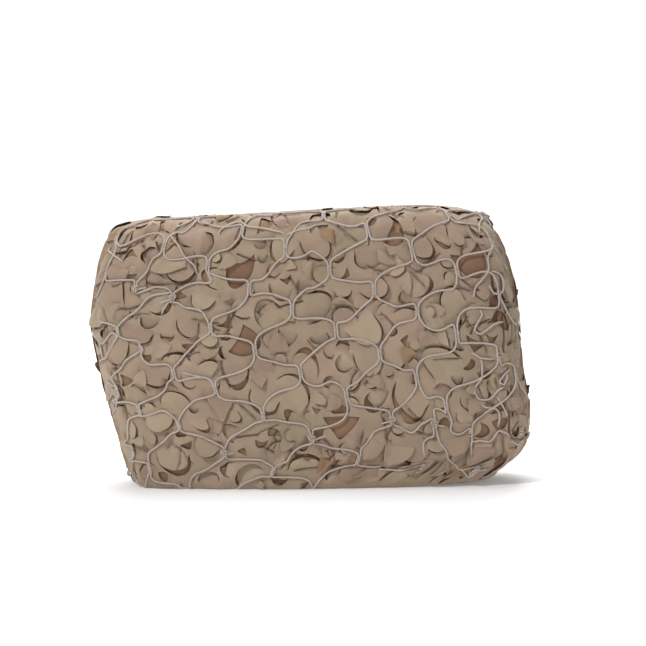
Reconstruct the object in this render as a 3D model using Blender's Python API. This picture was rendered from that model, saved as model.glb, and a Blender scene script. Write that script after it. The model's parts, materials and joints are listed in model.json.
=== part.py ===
"""Camouflage netting, folded for storage: the garnish cloth, the cord net over it and the ties between them.

Metres, +Z up. The bundle stands on its long edge. X runs along it, its front faces -Y, and the origin lies on
the floor under the middle of its box.

The cloth is one sheet, folded back and forth, and its last turn is wrapped round the folds: up the front, over
the top, down the back and under the bottom. Its cross-section is first drawn square, in flat y and z, and then
each station along the bundle is fitted to the outline that the real one has.
"""

import math

import bmesh
import bpy
from mathutils import Vector

# ---- Cloth, folded --------------------------------------------------------------------------------------------
LAYER = 0.0058  # one folded layer, six or seven plies of leafy cloth pressed together
GAP = 0.0013  # space between neighbouring layers
PITCH = LAYER + GAP
INNER_LAYERS = 16  # layers inside the wrapping turn, an even number
DEPTH = (INNER_LAYERS + 2) * LAYER + (INNER_LAYERS + 1) * GAP
HEIGHT = 0.305
TOP_RADIUS = 0.034  # middle of the wrapping turn at its two top corners
HEEL_RADIUS = 0.014  # the same at the foot of the back
FREE_EDGE = 0.006  # how far the sheet's last edge lies behind the front, under the bundle
RUNGS = (0.082, 0.193)  # heights at which each layer may bend
FOLD_STEPS = 3  # straight steps round a small fold
CORNER_STEPS = 5  # round a top corner of the wrapping turn
HEEL_STEPS = 4  # and round the foot of the back
SLACK = 0.0015  # least distance that a fold stops short of the wrapping turn
UNEVEN = 0.0035  # how much more some folds stop short
FOLD_TESTS = 12  # places round a fold at which its room is measured
FOLD_PHASE = 2.1  # radians between one layer's unevenness and the next layer's
DRIFT_PHASE = 5.0  # and between the bundle's two ends
RAGGED = 0.0022  # how unevenly the layers end at the left and right
RAGGED_WAVES = 5.5  # waves of that unevenness from front to back
SWELL = 0.0022  # how far the whole stack of layers waves to and fro
SWELL_WAVES = (3.2, 1.4)  # half waves of that swell along the bundle and up it

# ---- The real outline, fitted to the photograph ---------------------------------------------------------------
LENGTH = 0.49  # of the bundle at its middling height, which turns short steps sideways into parts of across
# Left and right ends of the bundle at each height.
EDGES = (
    # height, left, right
    (0.000, -0.206, 0.196),
    (0.010, -0.214, 0.214),
    (0.029, -0.219, 0.246),
    (0.053, -0.225, 0.254),
    (0.093, -0.236, 0.254),
    (0.135, -0.245, 0.246),
    (0.188, -0.254, 0.241),
    (0.236, -0.248, 0.236),
    (0.274, -0.239, 0.225),
    (0.294, -0.228, 0.212),
    (0.315, -0.208, 0.196),
)
# Stations along the bundle. across runs from 0 at the left end to 1 at the right.
STATIONS = (
    # across, front, back, top, lift, inset
    (0.000, 0.040, 0.038, 0.292, 0.004, 0.016),
    (0.025, 0.047, 0.046, 0.297, 0.001, 0.007),
    (0.080, 0.056, 0.055, 0.301, 0.000, 0.000),
    (0.190, 0.062, 0.060, 0.303, 0.000, 0.000),
    (0.360, 0.064, 0.063, 0.306, 0.000, 0.000),
    (0.550, 0.065, 0.063, 0.310, 0.000, 0.000),
    (0.720, 0.064, 0.062, 0.313, 0.002, 0.000),
    (0.850, 0.061, 0.060, 0.314, 0.004, 0.000),
    (0.935, 0.055, 0.054, 0.310, 0.006, 0.000),
    (0.980, 0.047, 0.046, 0.304, 0.009, 0.007),
    (1.000, 0.040, 0.039, 0.298, 0.012, 0.015),
)
# How full the bundle is at each height, against its fullest, and how far its middle leans back.
FULLNESS = (
    # height, fullness, lean
    (0.000, 0.90, 0.001),
    (0.048, 0.98, 0.001),
    (0.106, 1.00, 0.002),
    (0.183, 0.98, 0.003),
    (0.250, 0.91, 0.005),
    (0.315, 0.80, 0.008),
)

# ---- Cord net -------------------------------------------------------------------------------------------------
CORD = 0.0027  # cord diameter
CLEAR = 0.0014  # space between a cord and the cloth under it
JOINT = 0.011  # length of a joint, where two cords run side by side
COLUMN = 0.0937  # from joint to joint along a row
ROW = 0.033  # from row to row
ROW_RISE = 0.19  # how steeply the rows climb to the right
ROW_DRIFT = -0.003  # sideways step of each row, going up
FIRST_X = (-0.190, -0.237)  # first joint of an even and of an odd row
FIRST_ROW_HEIGHT = 0.008  # row 0, at x = 0
LOWEST = 0.013  # the lowest and highest place of a joint, measured over the bundle from its front foot
HIGHEST = 0.662
BAR_HANDLE = 0.014  # how far a cord runs on straight as it leaves a joint
BAR_BEND = 0.0007  # a bar takes more steps until it follows the cloth this closely
BAR_TESTS = (0.25, 0.5, 0.75)  # where along a step that is tested
PULL_REACH = 0.06  # how far a joint that shows pulls the others along with it
PULL_REST = 0.35  # and how firmly they keep to their rows
MOST_ROWS = 24  # rows and columns that are tried; those past the bundle's ends and edges are left off
MOST_COLUMNS = 7
BAR_STEPS = (2, 9)  # fewest and most straight steps of a bar
BAR_CORNERS = (207, 90, 333)  # the three edges of a bar, in degrees round it, 90 being straight out
BAR_CORNER_RADIUS = 0.55 * CORD
SIDE_ROOM = 0.022  # joints this far past an end are drawn in to it, and the rest are left off
END_MARGIN = 0.016  # of the bundle's length: the nearest that a joint comes to an end
NEARER = 0.97  # the front is nearer to the eye than the outline is, so it looks longer
EYE_X = 0.015  # the point straight before the eye
# Joints that show, where they are seen; the others follow the rows.
SEEN_JOINTS = (
    # row, column, x, height
    (0, 2, 0.009, 0.009),
    (0, 3, 0.124, 0.019),
    (0, 4, 0.182, 0.014),
    (1, 1, -0.137, 0.004),
    (1, 2, -0.045, 0.021),
    (1, 3, 0.054, 0.033),
    (1, 4, 0.143, 0.070),
    (1, 5, 0.185, 0.058),
    (2, 0, -0.190, 0.025),
    (2, 1, -0.100, 0.044),
    (2, 2, 0.001, 0.058),
    (2, 3, 0.094, 0.076),
    (2, 4, 0.157, 0.089),
    (3, 0, -0.216, 0.044),
    (3, 1, -0.153, 0.075),
    (3, 2, -0.055, 0.085),
    (4, 0, -0.200, 0.093),
    (4, 1, -0.110, 0.116),
    (5, 0, -0.232, 0.114),
    (5, 1, -0.158, 0.135),
    (6, 0, -0.196, 0.166),
    (6, 1, -0.115, 0.184),
    (7, 0, -0.224, 0.183),
    (7, 1, -0.158, 0.219),
)

# ---- Ties -----------------------------------------------------------------------------------------------------
# A tie passes over its joint: sideways from the joint's middle, and height over the cloth, of its cord's middle.
TIE_ARCH = (
    # side, height
    (-0.0085, 0.0024),
    (-0.0048, 0.0034),
    (-0.0022, 0.0056),
    (0.0000, 0.0062),
    (0.0022, 0.0056),
    (0.0048, 0.0034),
    (0.0085, 0.0024),
)
TIE_END_STEPS = 2  # straight steps of a tie's free end
TIES = (
    # row, column, side of the free end, its length, its slope
    (0, 4, 1, 0.012, 0.2),
    (1, 4, 1, 0.010, -0.2),
    (2, 1, 1, 0.009, 0.1),
    (2, 2, 1, 0.014, 0.3),
    (2, 3, -1, 0.010, -0.2),
    (7, 1, -1, 0.012, -0.3),
    (8, 0, 1, 0.010, 0.2),
    (9, 5, -1, 0.012, 0.2),
)

# ---- Colours --------------------------------------------------------------------------------------------------
CLOTH_TAN = (0.38, 0.30, 0.20, 1.0)
CLOTH_ROUGHNESS = 0.85
CORD_BEIGE = (0.56, 0.49, 0.41, 1.0)
CORD_ROUGHNESS = 0.9


def read(table, value, column):
    """A column of a table at a value of its first column, with straight runs between the rows."""
    for low, high in zip(table, table[1:]):
        if value <= high[0]:
            break
    part = min(max((value - low[0]) / (high[0] - low[0]), 0.0), 1.0)
    return low[column] + part * (high[column] - low[column])


def material(name, colour, roughness):
    """A plain finish for one kind of piece."""
    made = bpy.data.materials.new(name)
    made.use_nodes = True
    shader = made.node_tree.nodes["Principled BSDF"]
    shader.inputs["Base Color"].default_value = colour
    shader.inputs["Roughness"].default_value = roughness
    shader.inputs["Metallic"].default_value = 0.0
    return made


def make_object(name, bm, finish):
    """Turns a finished bmesh into an object, facing outwards."""
    bmesh.ops.recalc_face_normals(bm, faces=bm.faces)
    mesh = bpy.data.meshes.new(name)
    bm.to_mesh(mesh)
    bm.free()
    mesh.materials.append(finish)
    made = bpy.data.objects.new(name, mesh)
    bpy.context.collection.objects.link(made)
    return made


# ---- The cross-section, drawn square --------------------------------------------------------------------------


def layer_y(number):
    """Middle of a layer: 0 is the wrapping turn at the back, then the inner layers, then the front."""
    return DEPTH / 2 - LAYER / 2 - number * PITCH


def ceiling(y):
    """The highest that an inner fold may reach at y, under the wrapping turn."""
    reach = TOP_RADIUS - LAYER / 2 - GAP
    beyond = max(abs(y) - (DEPTH / 2 - LAYER / 2 - TOP_RADIUS), 0.0)
    return HEIGHT - LAYER / 2 - TOP_RADIUS + math.sqrt(max(reach**2 - beyond**2, 0.0))


def ground(y):
    """The lowest that an inner fold may reach at y, over the wrapping turn."""
    reach = HEEL_RADIUS - LAYER / 2 - GAP
    beyond = max(y - (DEPTH / 2 - LAYER / 2 - HEEL_RADIUS), 0.0)
    return LAYER / 2 + HEEL_RADIUS - math.sqrt(max(reach**2 - beyond**2, 0.0))


def arc(centre_y, centre_z, radius, start, end, steps):
    """Points round an arc, angles in degrees from +y towards +z."""
    points = []
    for step in range(steps + 1):
        angle = math.radians(start + (end - start) * step / steps)
        points.append((centre_y + radius * math.cos(angle), centre_z + radius * math.sin(angle)))
    return points


def fold(number, across, up):
    """The half turn from a layer to the next one in front, at the top or at the bottom."""
    middle = (layer_y(number) + layer_y(number + 1)) / 2
    reach = (PITCH + LAYER) / 2
    waver = 0.5 + 0.5 * math.sin(FOLD_PHASE * number + DRIFT_PHASE * across)
    short = SLACK + UNEVEN * waver
    if up:
        centre = min(ceiling(y) - z for y, z in arc(middle, 0.0, reach, 0, 180, FOLD_TESTS)) - short
        return arc(middle, centre, PITCH / 2, 0, 180, FOLD_STEPS)
    centre = max(ground(y) - z for y, z in arc(middle, 0.0, reach, 0, -180, FOLD_TESTS)) + short
    return arc(middle, centre, PITCH / 2, 0, -180, FOLD_STEPS)


def wrapping_turn():
    """Middle of the last turn, from the front up and over to the free edge under the bundle."""
    front = layer_y(INNER_LAYERS + 1)
    back = layer_y(0)
    top_centre = HEIGHT - LAYER / 2 - TOP_RADIUS
    path = [(front, height) for height in RUNGS]
    path += arc(front + TOP_RADIUS, top_centre, TOP_RADIUS, 180, 90, CORNER_STEPS)
    path += arc(back - TOP_RADIUS, top_centre, TOP_RADIUS, 90, 0, CORNER_STEPS)
    path += [(back, height) for height in reversed(RUNGS)]
    path += arc(back - HEEL_RADIUS, LAYER / 2 + HEEL_RADIUS, HEEL_RADIUS, 0, -90, HEEL_STEPS)
    path += [(0.0, LAYER / 2), (-DEPTH / 2 + FREE_EDGE, LAYER / 2)]
    return path


def centreline(across):
    """The sheet's whole path through one cross-section, from its edge inside the bundle to its free edge."""
    path = [(layer_y(1), ground(layer_y(1)) + SLACK)]
    for number in range(1, INNER_LAYERS + 1):
        rising = number % 2 == 1
        path += [(layer_y(number), height) for height in (RUNGS if rising else reversed(RUNGS))]
        if number < INNER_LAYERS:
            path += fold(number, across, rising)
    path += fold(INNER_LAYERS, 0.0, False)
    return path + wrapping_turn()


def offset(path, distance):
    """A line beside the path, to its left, kept at the same distance round every bend."""
    moved = []
    for index, (y, z) in enumerate(path):
        before = path[max(index - 1, 0)]
        after = path[min(index + 1, len(path) - 1)]
        here = Vector((y, z))
        arriving = (here - Vector(before)) if index else (Vector(after) - here)
        leaving = (Vector(after) - here) if index < len(path) - 1 else arriving
        one = Vector((-arriving.y, arriving.x)).normalized()
        two = Vector((-leaving.y, leaving.x)).normalized()
        middle = (one + two).normalized()
        moved.append(here + middle * distance / middle.dot(one))
    return [(point.x, point.y) for point in moved]


# ---- Fitting the section to the outline -----------------------------------------------------------------------


def place(station, y, z):
    """Where a point of the square section comes to lie at a station."""
    across, front, back, top, lift, inset = station
    height = lift + (top - lift) * z / HEIGHT
    side = y / (DEPTH / 2)
    half = front if y < 0 else back
    swell = SWELL * math.sin(math.pi * (SWELL_WAVES[0] * across + SWELL_WAVES[1] * z / HEIGHT))
    depth = side * half * read(FULLNESS, height, 1) + read(FULLNESS, height, 2) + swell
    ragged = RAGGED * math.sin(math.pi * RAGGED_WAVES * side + across) if inset else 0.0
    drawn_in = inset * side**2 + ragged
    left = read(EDGES, height, 1)
    right = read(EDGES, height, 2)
    x = left + across * (right - left) + (drawn_in if across < 0.5 else -drawn_in)
    return Vector((x, depth, height))


def garnish_cloth(finish):
    """The folded cloth: one closed solid, its section lofted from station to station."""
    bm = bmesh.new()
    rings = []
    for station in STATIONS:
        path = centreline(station[0])
        outer = [bm.verts.new(place(station, y, z)) for y, z in offset(path, LAYER / 2)]
        inner = [bm.verts.new(place(station, y, z)) for y, z in offset(path, -LAYER / 2)]
        rings.append((outer, inner))
    last = len(rings[0][0]) - 1
    for (outer, inner), (next_outer, next_inner) in zip(rings, rings[1:]):
        for side, next_side in ((outer, next_outer), (inner, next_inner)):
            for index in range(last):
                bm.faces.new((side[index], side[index + 1], next_side[index + 1], next_side[index]))
        for index in (0, last):
            bm.faces.new((outer[index], inner[index], next_inner[index], next_outer[index]))
    for outer, inner in (rings[0], rings[-1]):
        for index in range(last):
            bm.faces.new((outer[index], outer[index + 1], inner[index + 1], inner[index]))
    return make_object("garnish_cloth", bm, finish)


# ---- The cloth's outer face, as a place to lay cords ----------------------------------------------------------


def outer_line():
    """The outer face of the wrapping turn in the square section, with the distance to each of its points."""
    first = fold(INNER_LAYERS, 0.0, False)[-1]
    points = offset([first] + wrapping_turn(), LAYER / 2)
    run = [points[0][1]]
    for before, after in zip(points, points[1:]):
        run.append(run[-1] + math.dist(before, after))
    return points, run


OUTER_POINTS, OUTER_RUN = outer_line()


def on_outer_line(distance):
    """Which stretch of the outer line a distance falls in, and how far along it."""
    for index in range(len(OUTER_RUN) - 2):
        if distance <= OUTER_RUN[index + 1]:
            break
    part = (distance - OUTER_RUN[index]) / (OUTER_RUN[index + 1] - OUTER_RUN[index])
    return index, part


def skin(across, distance):
    """A point on the cloth's outer face, and the directions along the bundle, up and out from there."""
    for left, right in zip(STATIONS, STATIONS[1:]):
        if across <= right[0]:
            break
    share = (across - left[0]) / (right[0] - left[0])
    index, part = on_outer_line(distance)
    low = [place(station, *OUTER_POINTS[index]) for station in (left, right)]
    high = [place(station, *OUTER_POINTS[index + 1]) for station in (left, right)]
    point = low[0].lerp(low[1], share).lerp(high[0].lerp(high[1], share), part)
    along = (low[1].lerp(high[1], part) - low[0].lerp(high[0], part)).normalized()
    up = (high[0].lerp(high[1], share) - low[0].lerp(low[1], share)).normalized()
    out = along.cross(up).normalized()
    return point, along, up, out


def height_at(distance):
    """The height in the square section at a distance over the bundle."""
    index, part = on_outer_line(distance)
    return OUTER_POINTS[index][1] + part * (OUTER_POINTS[index + 1][1] - OUTER_POINTS[index][1])


def across_at(x, distance):
    """Where along the bundle an x falls, 0 at the left end and 1 at the right."""
    height = height_at(distance)
    left = read(EDGES, height, 1)
    right = read(EDGES, height, 2)
    return (x - left) / (right - left)


# ---- Cord net -------------------------------------------------------------------------------------------------


def row_place(row, column):
    """Where the rows alone put a joint: its x, and its distance over the bundle."""
    x = FIRST_X[row % 2] + COLUMN * column + ROW_DRIFT * row
    return Vector((x, FIRST_ROW_HEIGHT + ROW * row + ROW_RISE * x))


def seen_places():
    """Where the joints that show lie on the front: (row, column) to x and distance over the bundle."""
    return {
        (row, column): Vector((EYE_X + NEARER * (x - EYE_X), height)) for row, column, x, height in SEEN_JOINTS
    }


def pulled_place(row, column, seen):
    """A joint's place in its row, drawn along by the joints near it that show."""
    spot = row_place(row, column)
    pull = Vector((0.0, 0.0))
    total = PULL_REST
    for key, place_seen in seen.items():
        weight = math.exp(-((place_seen - spot).length / PULL_REACH) ** 2)
        pull += weight * (place_seen - row_place(*key))
        total += weight
    return spot + pull / total


def joint_places():
    """Every joint of the net: (row, column) to (across, distance over the bundle)."""
    seen = seen_places()
    room = SIDE_ROOM / LENGTH
    places = {}
    for row in range(MOST_ROWS):
        for column in range(MOST_COLUMNS):
            x, distance = seen[row, column] if (row, column) in seen else pulled_place(row, column, seen)
            if not LOWEST <= distance <= HIGHEST:
                continue
            across = across_at(x, distance)
            if -room <= across <= 1 + room:
                places[row, column] = (min(max(across, END_MARGIN), 1 - END_MARGIN), distance)
    return places


def cord_point(across, distance, side, outwards):
    """A point beside and above a place on the cloth."""
    point, along, _, out = skin(across, distance)
    return point + along * side + out * (CLEAR + CORD / 2 + outwards)


def joint_rings(bm, across, distance):
    """The lower and upper end of a joint, each with its left, front, right and back point."""
    points = (("left", -CORD, 0.0), ("front", 0.0, CORD / 2), ("right", CORD, 0.0), ("back", 0.0, -CORD / 2))
    rings = []
    for end in (-JOINT / 2, JOINT / 2):
        spots = {name: cord_point(across, distance + end, side, out) for name, side, out in points}
        rings.append({name: bm.verts.new(spot) for name, spot in spots.items()})
    return rings


def bar_place(start, end, part):
    """A place on a bar between two ports: it leaves and arrives along the joints, bending both ways between."""
    rest = 1 - part
    near_start = rest**3 + 3 * rest**2 * part
    across = near_start * start[0] + (1 - near_start) * end[0]
    distance = near_start * start[1] + (1 - near_start) * end[1]
    distance += 3 * rest * part * (part - rest) * BAR_HANDLE
    return across, distance


def bar_steps(start, end):
    """How many straight steps keep a bar close to the cloth."""
    for steps in range(BAR_STEPS[0], BAR_STEPS[1] + 1):
        worst = 0.0
        for step in range(steps):
            low = cord_point(*bar_place(start, end, step / steps), 0.0, 0.0)
            high = cord_point(*bar_place(start, end, (step + 1) / steps), 0.0, 0.0)
            for test in BAR_TESTS:
                mark = bar_place(start, end, (step + test) / steps)
                off = cord_point(*mark, 0.0, 0.0) - low.lerp(high, test)
                worst = max(worst, off.dot(skin(*mark)[3]))
        if worst < BAR_BEND:
            break
    return steps


def bar_ring(bm, mark, ahead, mirrored):
    """The three corners of a bar at one place on it."""
    point, _, _, out = skin(*mark)
    side = out.cross(skin(*ahead)[0] - point).normalized()
    if mirrored:
        side = -side
    ring = []
    for angle in map(math.radians, BAR_CORNERS):
        reach = side * math.cos(angle) + out * math.sin(angle)
        ring.append(bm.verts.new(cord_point(*mark, 0.0, 0.0) + reach * BAR_CORNER_RADIUS))
    return ring


def bar(bm, start_ring, start, end_ring, end):
    """A three-sided cord from a joint's lower port to the upper port of a joint below it."""
    steps = bar_steps(start, end)
    rings = [start_ring]
    for step in range(1, steps):
        mark = bar_place(start, end, step / steps)
        ahead = bar_place(start, end, (step + 0.5) / steps)
        rings.append(bar_ring(bm, mark, ahead, mirrored=start[0] < end[0]))
    rings.append(end_ring)
    for low, high in zip(rings, rings[1:]):
        for index in range(3):
            after = (index + 1) % 3
            bm.faces.new((low[index], low[after], high[after], high[index]))


def port_place(joint, side, level):
    """Where a joint's port lies: at its left or right, at its lower or upper end."""
    across, distance = joint
    sideways = -CORD / 2 if side == "left" else CORD / 2
    return across + sideways / LENGTH, distance + level * JOINT / 2


def cord_net(places, finish):
    """The net over the outside of the bundle: one closed solid of joints and bars at the mesh's real size."""
    bm = bmesh.new()
    rings = {key: joint_rings(bm, *spot) for key, spot in places.items()}
    round_a_joint = (("left", "front"), ("front", "right"), ("right", "back"), ("back", "left"))
    for low, high in rings.values():
        for one, two in round_a_joint:
            bm.faces.new((low[one], low[two], high[two], high[one]))
    joined = set()
    for (row, column), (low, _) in rings.items():
        first = column - row % 2  # the lower left neighbour's column
        for side, facing, other in (("left", "right", (row - 1, first)), ("right", "left", (row - 1, first + 1))):
            if other not in rings:
                continue
            top = rings[other][1]
            start = port_place(places[row, column], side, -1)
            end = port_place(places[other], facing, 1)
            bar(bm, (low[side], low["front"], low["back"]), start, (top["back"], top["front"], top[facing]), end)
            joined.add((row, column, 0, side))
            joined.add((*other, 1, facing))
    for (row, column), ends in rings.items():
        for level, ring in enumerate(ends):
            for side in ("left", "right"):
                if (row, column, level, side) not in joined:
                    bm.faces.new((ring[side], ring["front"], ring["back"]))
    return make_object("cord_net", bm, finish)


# ---- Ties -----------------------------------------------------------------------------------------------------


def tie(name, joint, side, length, slope, finish):
    """A short cord over a joint, with one free end lying on the cloth."""
    across, distance = joint
    reach, lying = TIE_ARCH[-1]
    route = list(TIE_ARCH)
    route += [(reach + length * step / TIE_END_STEPS, lying) for step in range(1, TIE_END_STEPS + 1)]
    points = []
    for sideways, height in route:
        rise = slope * max(sideways - reach, 0.0)
        point, _, _, out = skin(across + side * sideways / LENGTH, distance + rise)
        points.append(point + out * height)
    curve = bpy.data.curves.new(name, "CURVE")
    curve.dimensions = "3D"
    curve.bevel_depth = CORD / 2
    curve.bevel_resolution = 1
    curve.use_fill_caps = True
    spline = curve.splines.new("POLY")
    spline.points.add(len(points) - 1)
    for spot, point in zip(spline.points, points):
        spot.co = (*point, 1.0)
    curve.materials.append(finish)
    made = bpy.data.objects.new(name, curve)
    bpy.context.collection.objects.link(made)
    return made


def main():
    """Makes the whole object afresh."""
    for old in list(bpy.data.objects):
        bpy.data.objects.remove(old, do_unlink=True)
    tan = material("garnish_tan", CLOTH_TAN, CLOTH_ROUGHNESS)
    beige = material("cord_beige", CORD_BEIGE, CORD_ROUGHNESS)
    garnish_cloth(tan)
    places = joint_places()
    cord_net(places, beige)
    for number, (row, column, side, length, slope) in enumerate(TIES, 1):
        tie(f"tie_{number}", places[row, column], side, length, slope, beige)


main()
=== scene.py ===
"""The looks of camouflage netting that is folded into a bundle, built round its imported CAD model.

The outer face of the bundle is taken as a flat map: u runs along the bundle from its left end and v over it,
from the foot of the front up, over the top, down the back and under the bottom. Cloth is die-cut and cords
are laid out on that map, and both are then bent round the bundle. All sizes are in metres.
"""

import json
import math

import bpy
import numpy as np
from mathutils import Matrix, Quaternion, Vector, geometry, kdtree

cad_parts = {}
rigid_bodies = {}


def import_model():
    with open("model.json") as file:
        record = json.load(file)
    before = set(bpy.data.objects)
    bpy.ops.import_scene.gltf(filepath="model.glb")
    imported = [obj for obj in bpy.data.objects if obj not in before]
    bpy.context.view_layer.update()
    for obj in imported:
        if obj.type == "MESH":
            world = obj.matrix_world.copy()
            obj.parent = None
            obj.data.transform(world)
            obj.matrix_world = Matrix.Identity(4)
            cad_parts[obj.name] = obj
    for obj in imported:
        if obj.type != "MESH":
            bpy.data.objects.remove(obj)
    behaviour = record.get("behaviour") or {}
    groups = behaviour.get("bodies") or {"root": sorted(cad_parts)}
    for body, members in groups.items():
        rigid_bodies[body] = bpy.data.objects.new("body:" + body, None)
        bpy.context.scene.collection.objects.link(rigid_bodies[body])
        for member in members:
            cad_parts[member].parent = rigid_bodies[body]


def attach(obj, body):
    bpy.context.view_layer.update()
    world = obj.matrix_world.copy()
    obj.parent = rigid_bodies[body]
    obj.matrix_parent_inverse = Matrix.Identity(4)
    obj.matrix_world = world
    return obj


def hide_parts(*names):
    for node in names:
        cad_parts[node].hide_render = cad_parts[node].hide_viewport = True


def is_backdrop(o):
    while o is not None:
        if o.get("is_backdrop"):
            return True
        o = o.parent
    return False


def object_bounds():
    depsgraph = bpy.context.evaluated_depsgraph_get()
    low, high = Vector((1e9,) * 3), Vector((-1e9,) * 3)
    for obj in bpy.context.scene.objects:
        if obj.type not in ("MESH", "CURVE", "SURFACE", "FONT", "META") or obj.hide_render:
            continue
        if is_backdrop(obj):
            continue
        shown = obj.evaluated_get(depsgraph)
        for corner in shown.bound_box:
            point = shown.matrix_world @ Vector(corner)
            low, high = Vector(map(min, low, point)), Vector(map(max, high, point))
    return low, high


for old in list(bpy.data.objects):
    bpy.data.objects.remove(old, do_unlink=True)
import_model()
CAD_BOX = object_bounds()

# ---- The bundle, as in its CAD model ---------------------------------
LAYER = 0.0058  # one folded layer
GAP = 0.0013  # space between neighbouring layers
PITCH = LAYER + GAP
INNER_LAYERS = 16
DEPTH = (INNER_LAYERS + 2) * LAYER + (INNER_LAYERS + 1) * GAP
HEIGHT = 0.305
TOP_RADIUS = 0.034  # middle of the wrapping turn at its two top corners
HEEL_RADIUS = 0.014  # the same at the foot of the back
SLACK = 0.0015  # least distance that a fold stops short of the wrapping turn
SWELL = 0.0022  # how far the whole stack of layers waves to and fro
SWELL_WAVES = (3.2, 1.4)  # half waves of that swell along the bundle and up it
LENGTH = 0.49
EDGES = (
    # height, left, right
    (0.000, -0.206, 0.196),
    (0.010, -0.214, 0.214),
    (0.029, -0.219, 0.246),
    (0.053, -0.225, 0.254),
    (0.093, -0.236, 0.254),
    (0.135, -0.245, 0.246),
    (0.188, -0.254, 0.241),
    (0.236, -0.248, 0.236),
    (0.274, -0.239, 0.225),
    (0.294, -0.228, 0.212),
    (0.315, -0.208, 0.196),
)
STATIONS = (
    # across, front, back, top, lift, inset
    (0.000, 0.040, 0.038, 0.292, 0.004, 0.016),
    (0.025, 0.047, 0.046, 0.297, 0.001, 0.007),
    (0.080, 0.056, 0.055, 0.301, 0.000, 0.000),
    (0.190, 0.062, 0.060, 0.303, 0.000, 0.000),
    (0.360, 0.064, 0.063, 0.306, 0.000, 0.000),
    (0.550, 0.065, 0.063, 0.310, 0.000, 0.000),
    (0.720, 0.064, 0.062, 0.313, 0.002, 0.000),
    (0.850, 0.061, 0.060, 0.314, 0.004, 0.000),
    (0.935, 0.055, 0.054, 0.310, 0.006, 0.000),
    (0.980, 0.047, 0.046, 0.304, 0.009, 0.007),
    (1.000, 0.040, 0.039, 0.298, 0.012, 0.015),
)
FULLNESS = (
    # height, fullness, lean
    (0.000, 0.90, 0.001),
    (0.048, 0.98, 0.001),
    (0.106, 1.00, 0.002),
    (0.183, 0.98, 0.003),
    (0.250, 0.91, 0.005),
    (0.315, 0.80, 0.008),
)
CORD = 0.0027  # cord diameter
JOINT = 0.011  # length of a joint, where two cords run side by side
COLUMN = 0.0937  # from joint to joint along a row
ROW = 0.033  # from row to row
ROW_RISE = 0.19  # how steeply the rows climb to the right
ROW_DRIFT = -0.003  # sideways step of each row, going up
FIRST_X = (-0.190, -0.237)  # first joint of an even and of an odd row
FIRST_ROW_HEIGHT = 0.008  # row 0, at x = 0
LOWEST = 0.013  # the lowest and highest place of a joint, measured over the bundle from its front foot
HIGHEST = 0.662
BAR_HANDLE = 0.014  # how far a cord runs on straight as it leaves a joint
PULL_REACH = 0.06  # how far a joint that shows pulls the others along with it
PULL_REST = 0.35  # and how firmly they keep to their rows
SIDE_ROOM = 0.022  # joints this far past an end are drawn in to it, and the rest are left off
END_MARGIN = 0.016  # of the bundle's length: the nearest that a joint comes to an end
NEARER = 0.97  # the front is nearer to the eye than the outline is, so it looks longer
EYE_X = 0.015  # the point straight before the eye
MOST_ROWS = 24  # rows and columns that are tried
MOST_COLUMNS = 7
SEEN_JOINTS = (
    # row, column, x, height
    (0, 2, 0.009, 0.009),
    (0, 3, 0.124, 0.019),
    (0, 4, 0.182, 0.014),
    (1, 1, -0.137, 0.004),
    (1, 2, -0.045, 0.021),
    (1, 3, 0.054, 0.033),
    (1, 4, 0.143, 0.070),
    (1, 5, 0.185, 0.058),
    (2, 0, -0.190, 0.025),
    (2, 1, -0.100, 0.044),
    (2, 2, 0.001, 0.058),
    (2, 3, 0.094, 0.076),
    (2, 4, 0.157, 0.089),
    (3, 0, -0.216, 0.044),
    (3, 1, -0.153, 0.075),
    (3, 2, -0.055, 0.085),
    (4, 0, -0.200, 0.093),
    (4, 1, -0.110, 0.116),
    (5, 0, -0.232, 0.114),
    (5, 1, -0.158, 0.135),
    (6, 0, -0.196, 0.166),
    (6, 1, -0.115, 0.184),
    (7, 0, -0.224, 0.183),
    (7, 1, -0.158, 0.219),
)

# ---- The camera, at the photograph's place ---------------------------
PHOTO_SIZE = 646
PIXEL = 0.00115  # metres across a pixel of the photograph, at the middle of the bundle
EYE_TARGET = (EYE_X, 0.0, 0.183)
EYE_DISTANCE = 2.2
EYE_ABOVE = math.radians(5.0)
EYE_ROLL = math.radians(0.55)


# ---- Tables, noise and lines -----------------------------------------
TABLE_MARGIN = 0.25  # how far a table's curve runs on past its ends, as a part of its length
TABLE_POINTS = 601
NOISE_CELLS = 64  # the noise repeats after so many cells
NOISE_SHIFT = 1000.0  # keeps the numbers of the cells above 0


def column(table, number, softness):
    """A column of a table as a fine curve, rounded off a little where straight runs meet."""
    rows = np.array(table)
    low, high = rows[0, 0], rows[-1, 0]
    margin = TABLE_MARGIN * (high - low)
    places = np.linspace(low - margin, high + margin, TABLE_POINTS)
    values = np.interp(places, rows[:, 0], rows[:, number])
    for end, inner in ((0, 1), (-1, -2)):
        slope = (rows[end, number] - rows[inner, number]) / (rows[end, 0] - rows[inner, 0])
        beyond = (places - rows[end, 0]) * (-1 if end == 0 else 1) > 0
        values[beyond] = rows[end, number] + slope * (places[beyond] - rows[end, 0])
    step = places[1] - places[0]
    reach = max(int(3 * softness / step), 1)
    kernel = np.exp(-0.5 * (np.arange(-reach, reach + 1) * step / softness) ** 2)
    padded = np.pad(values, reach, mode="edge")
    return places, np.convolve(padded, kernel / kernel.sum(), mode="valid")


LEFT, RIGHT = (column(EDGES, number, 0.010) for number in (1, 2))
FRONT, BACK, TOP, LIFT, INSET = (column(STATIONS, number, 0.018) for number in (1, 2, 3, 4, 5))
FULL, LEAN = (column(FULLNESS, number, 0.015) for number in (1, 2))


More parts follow.
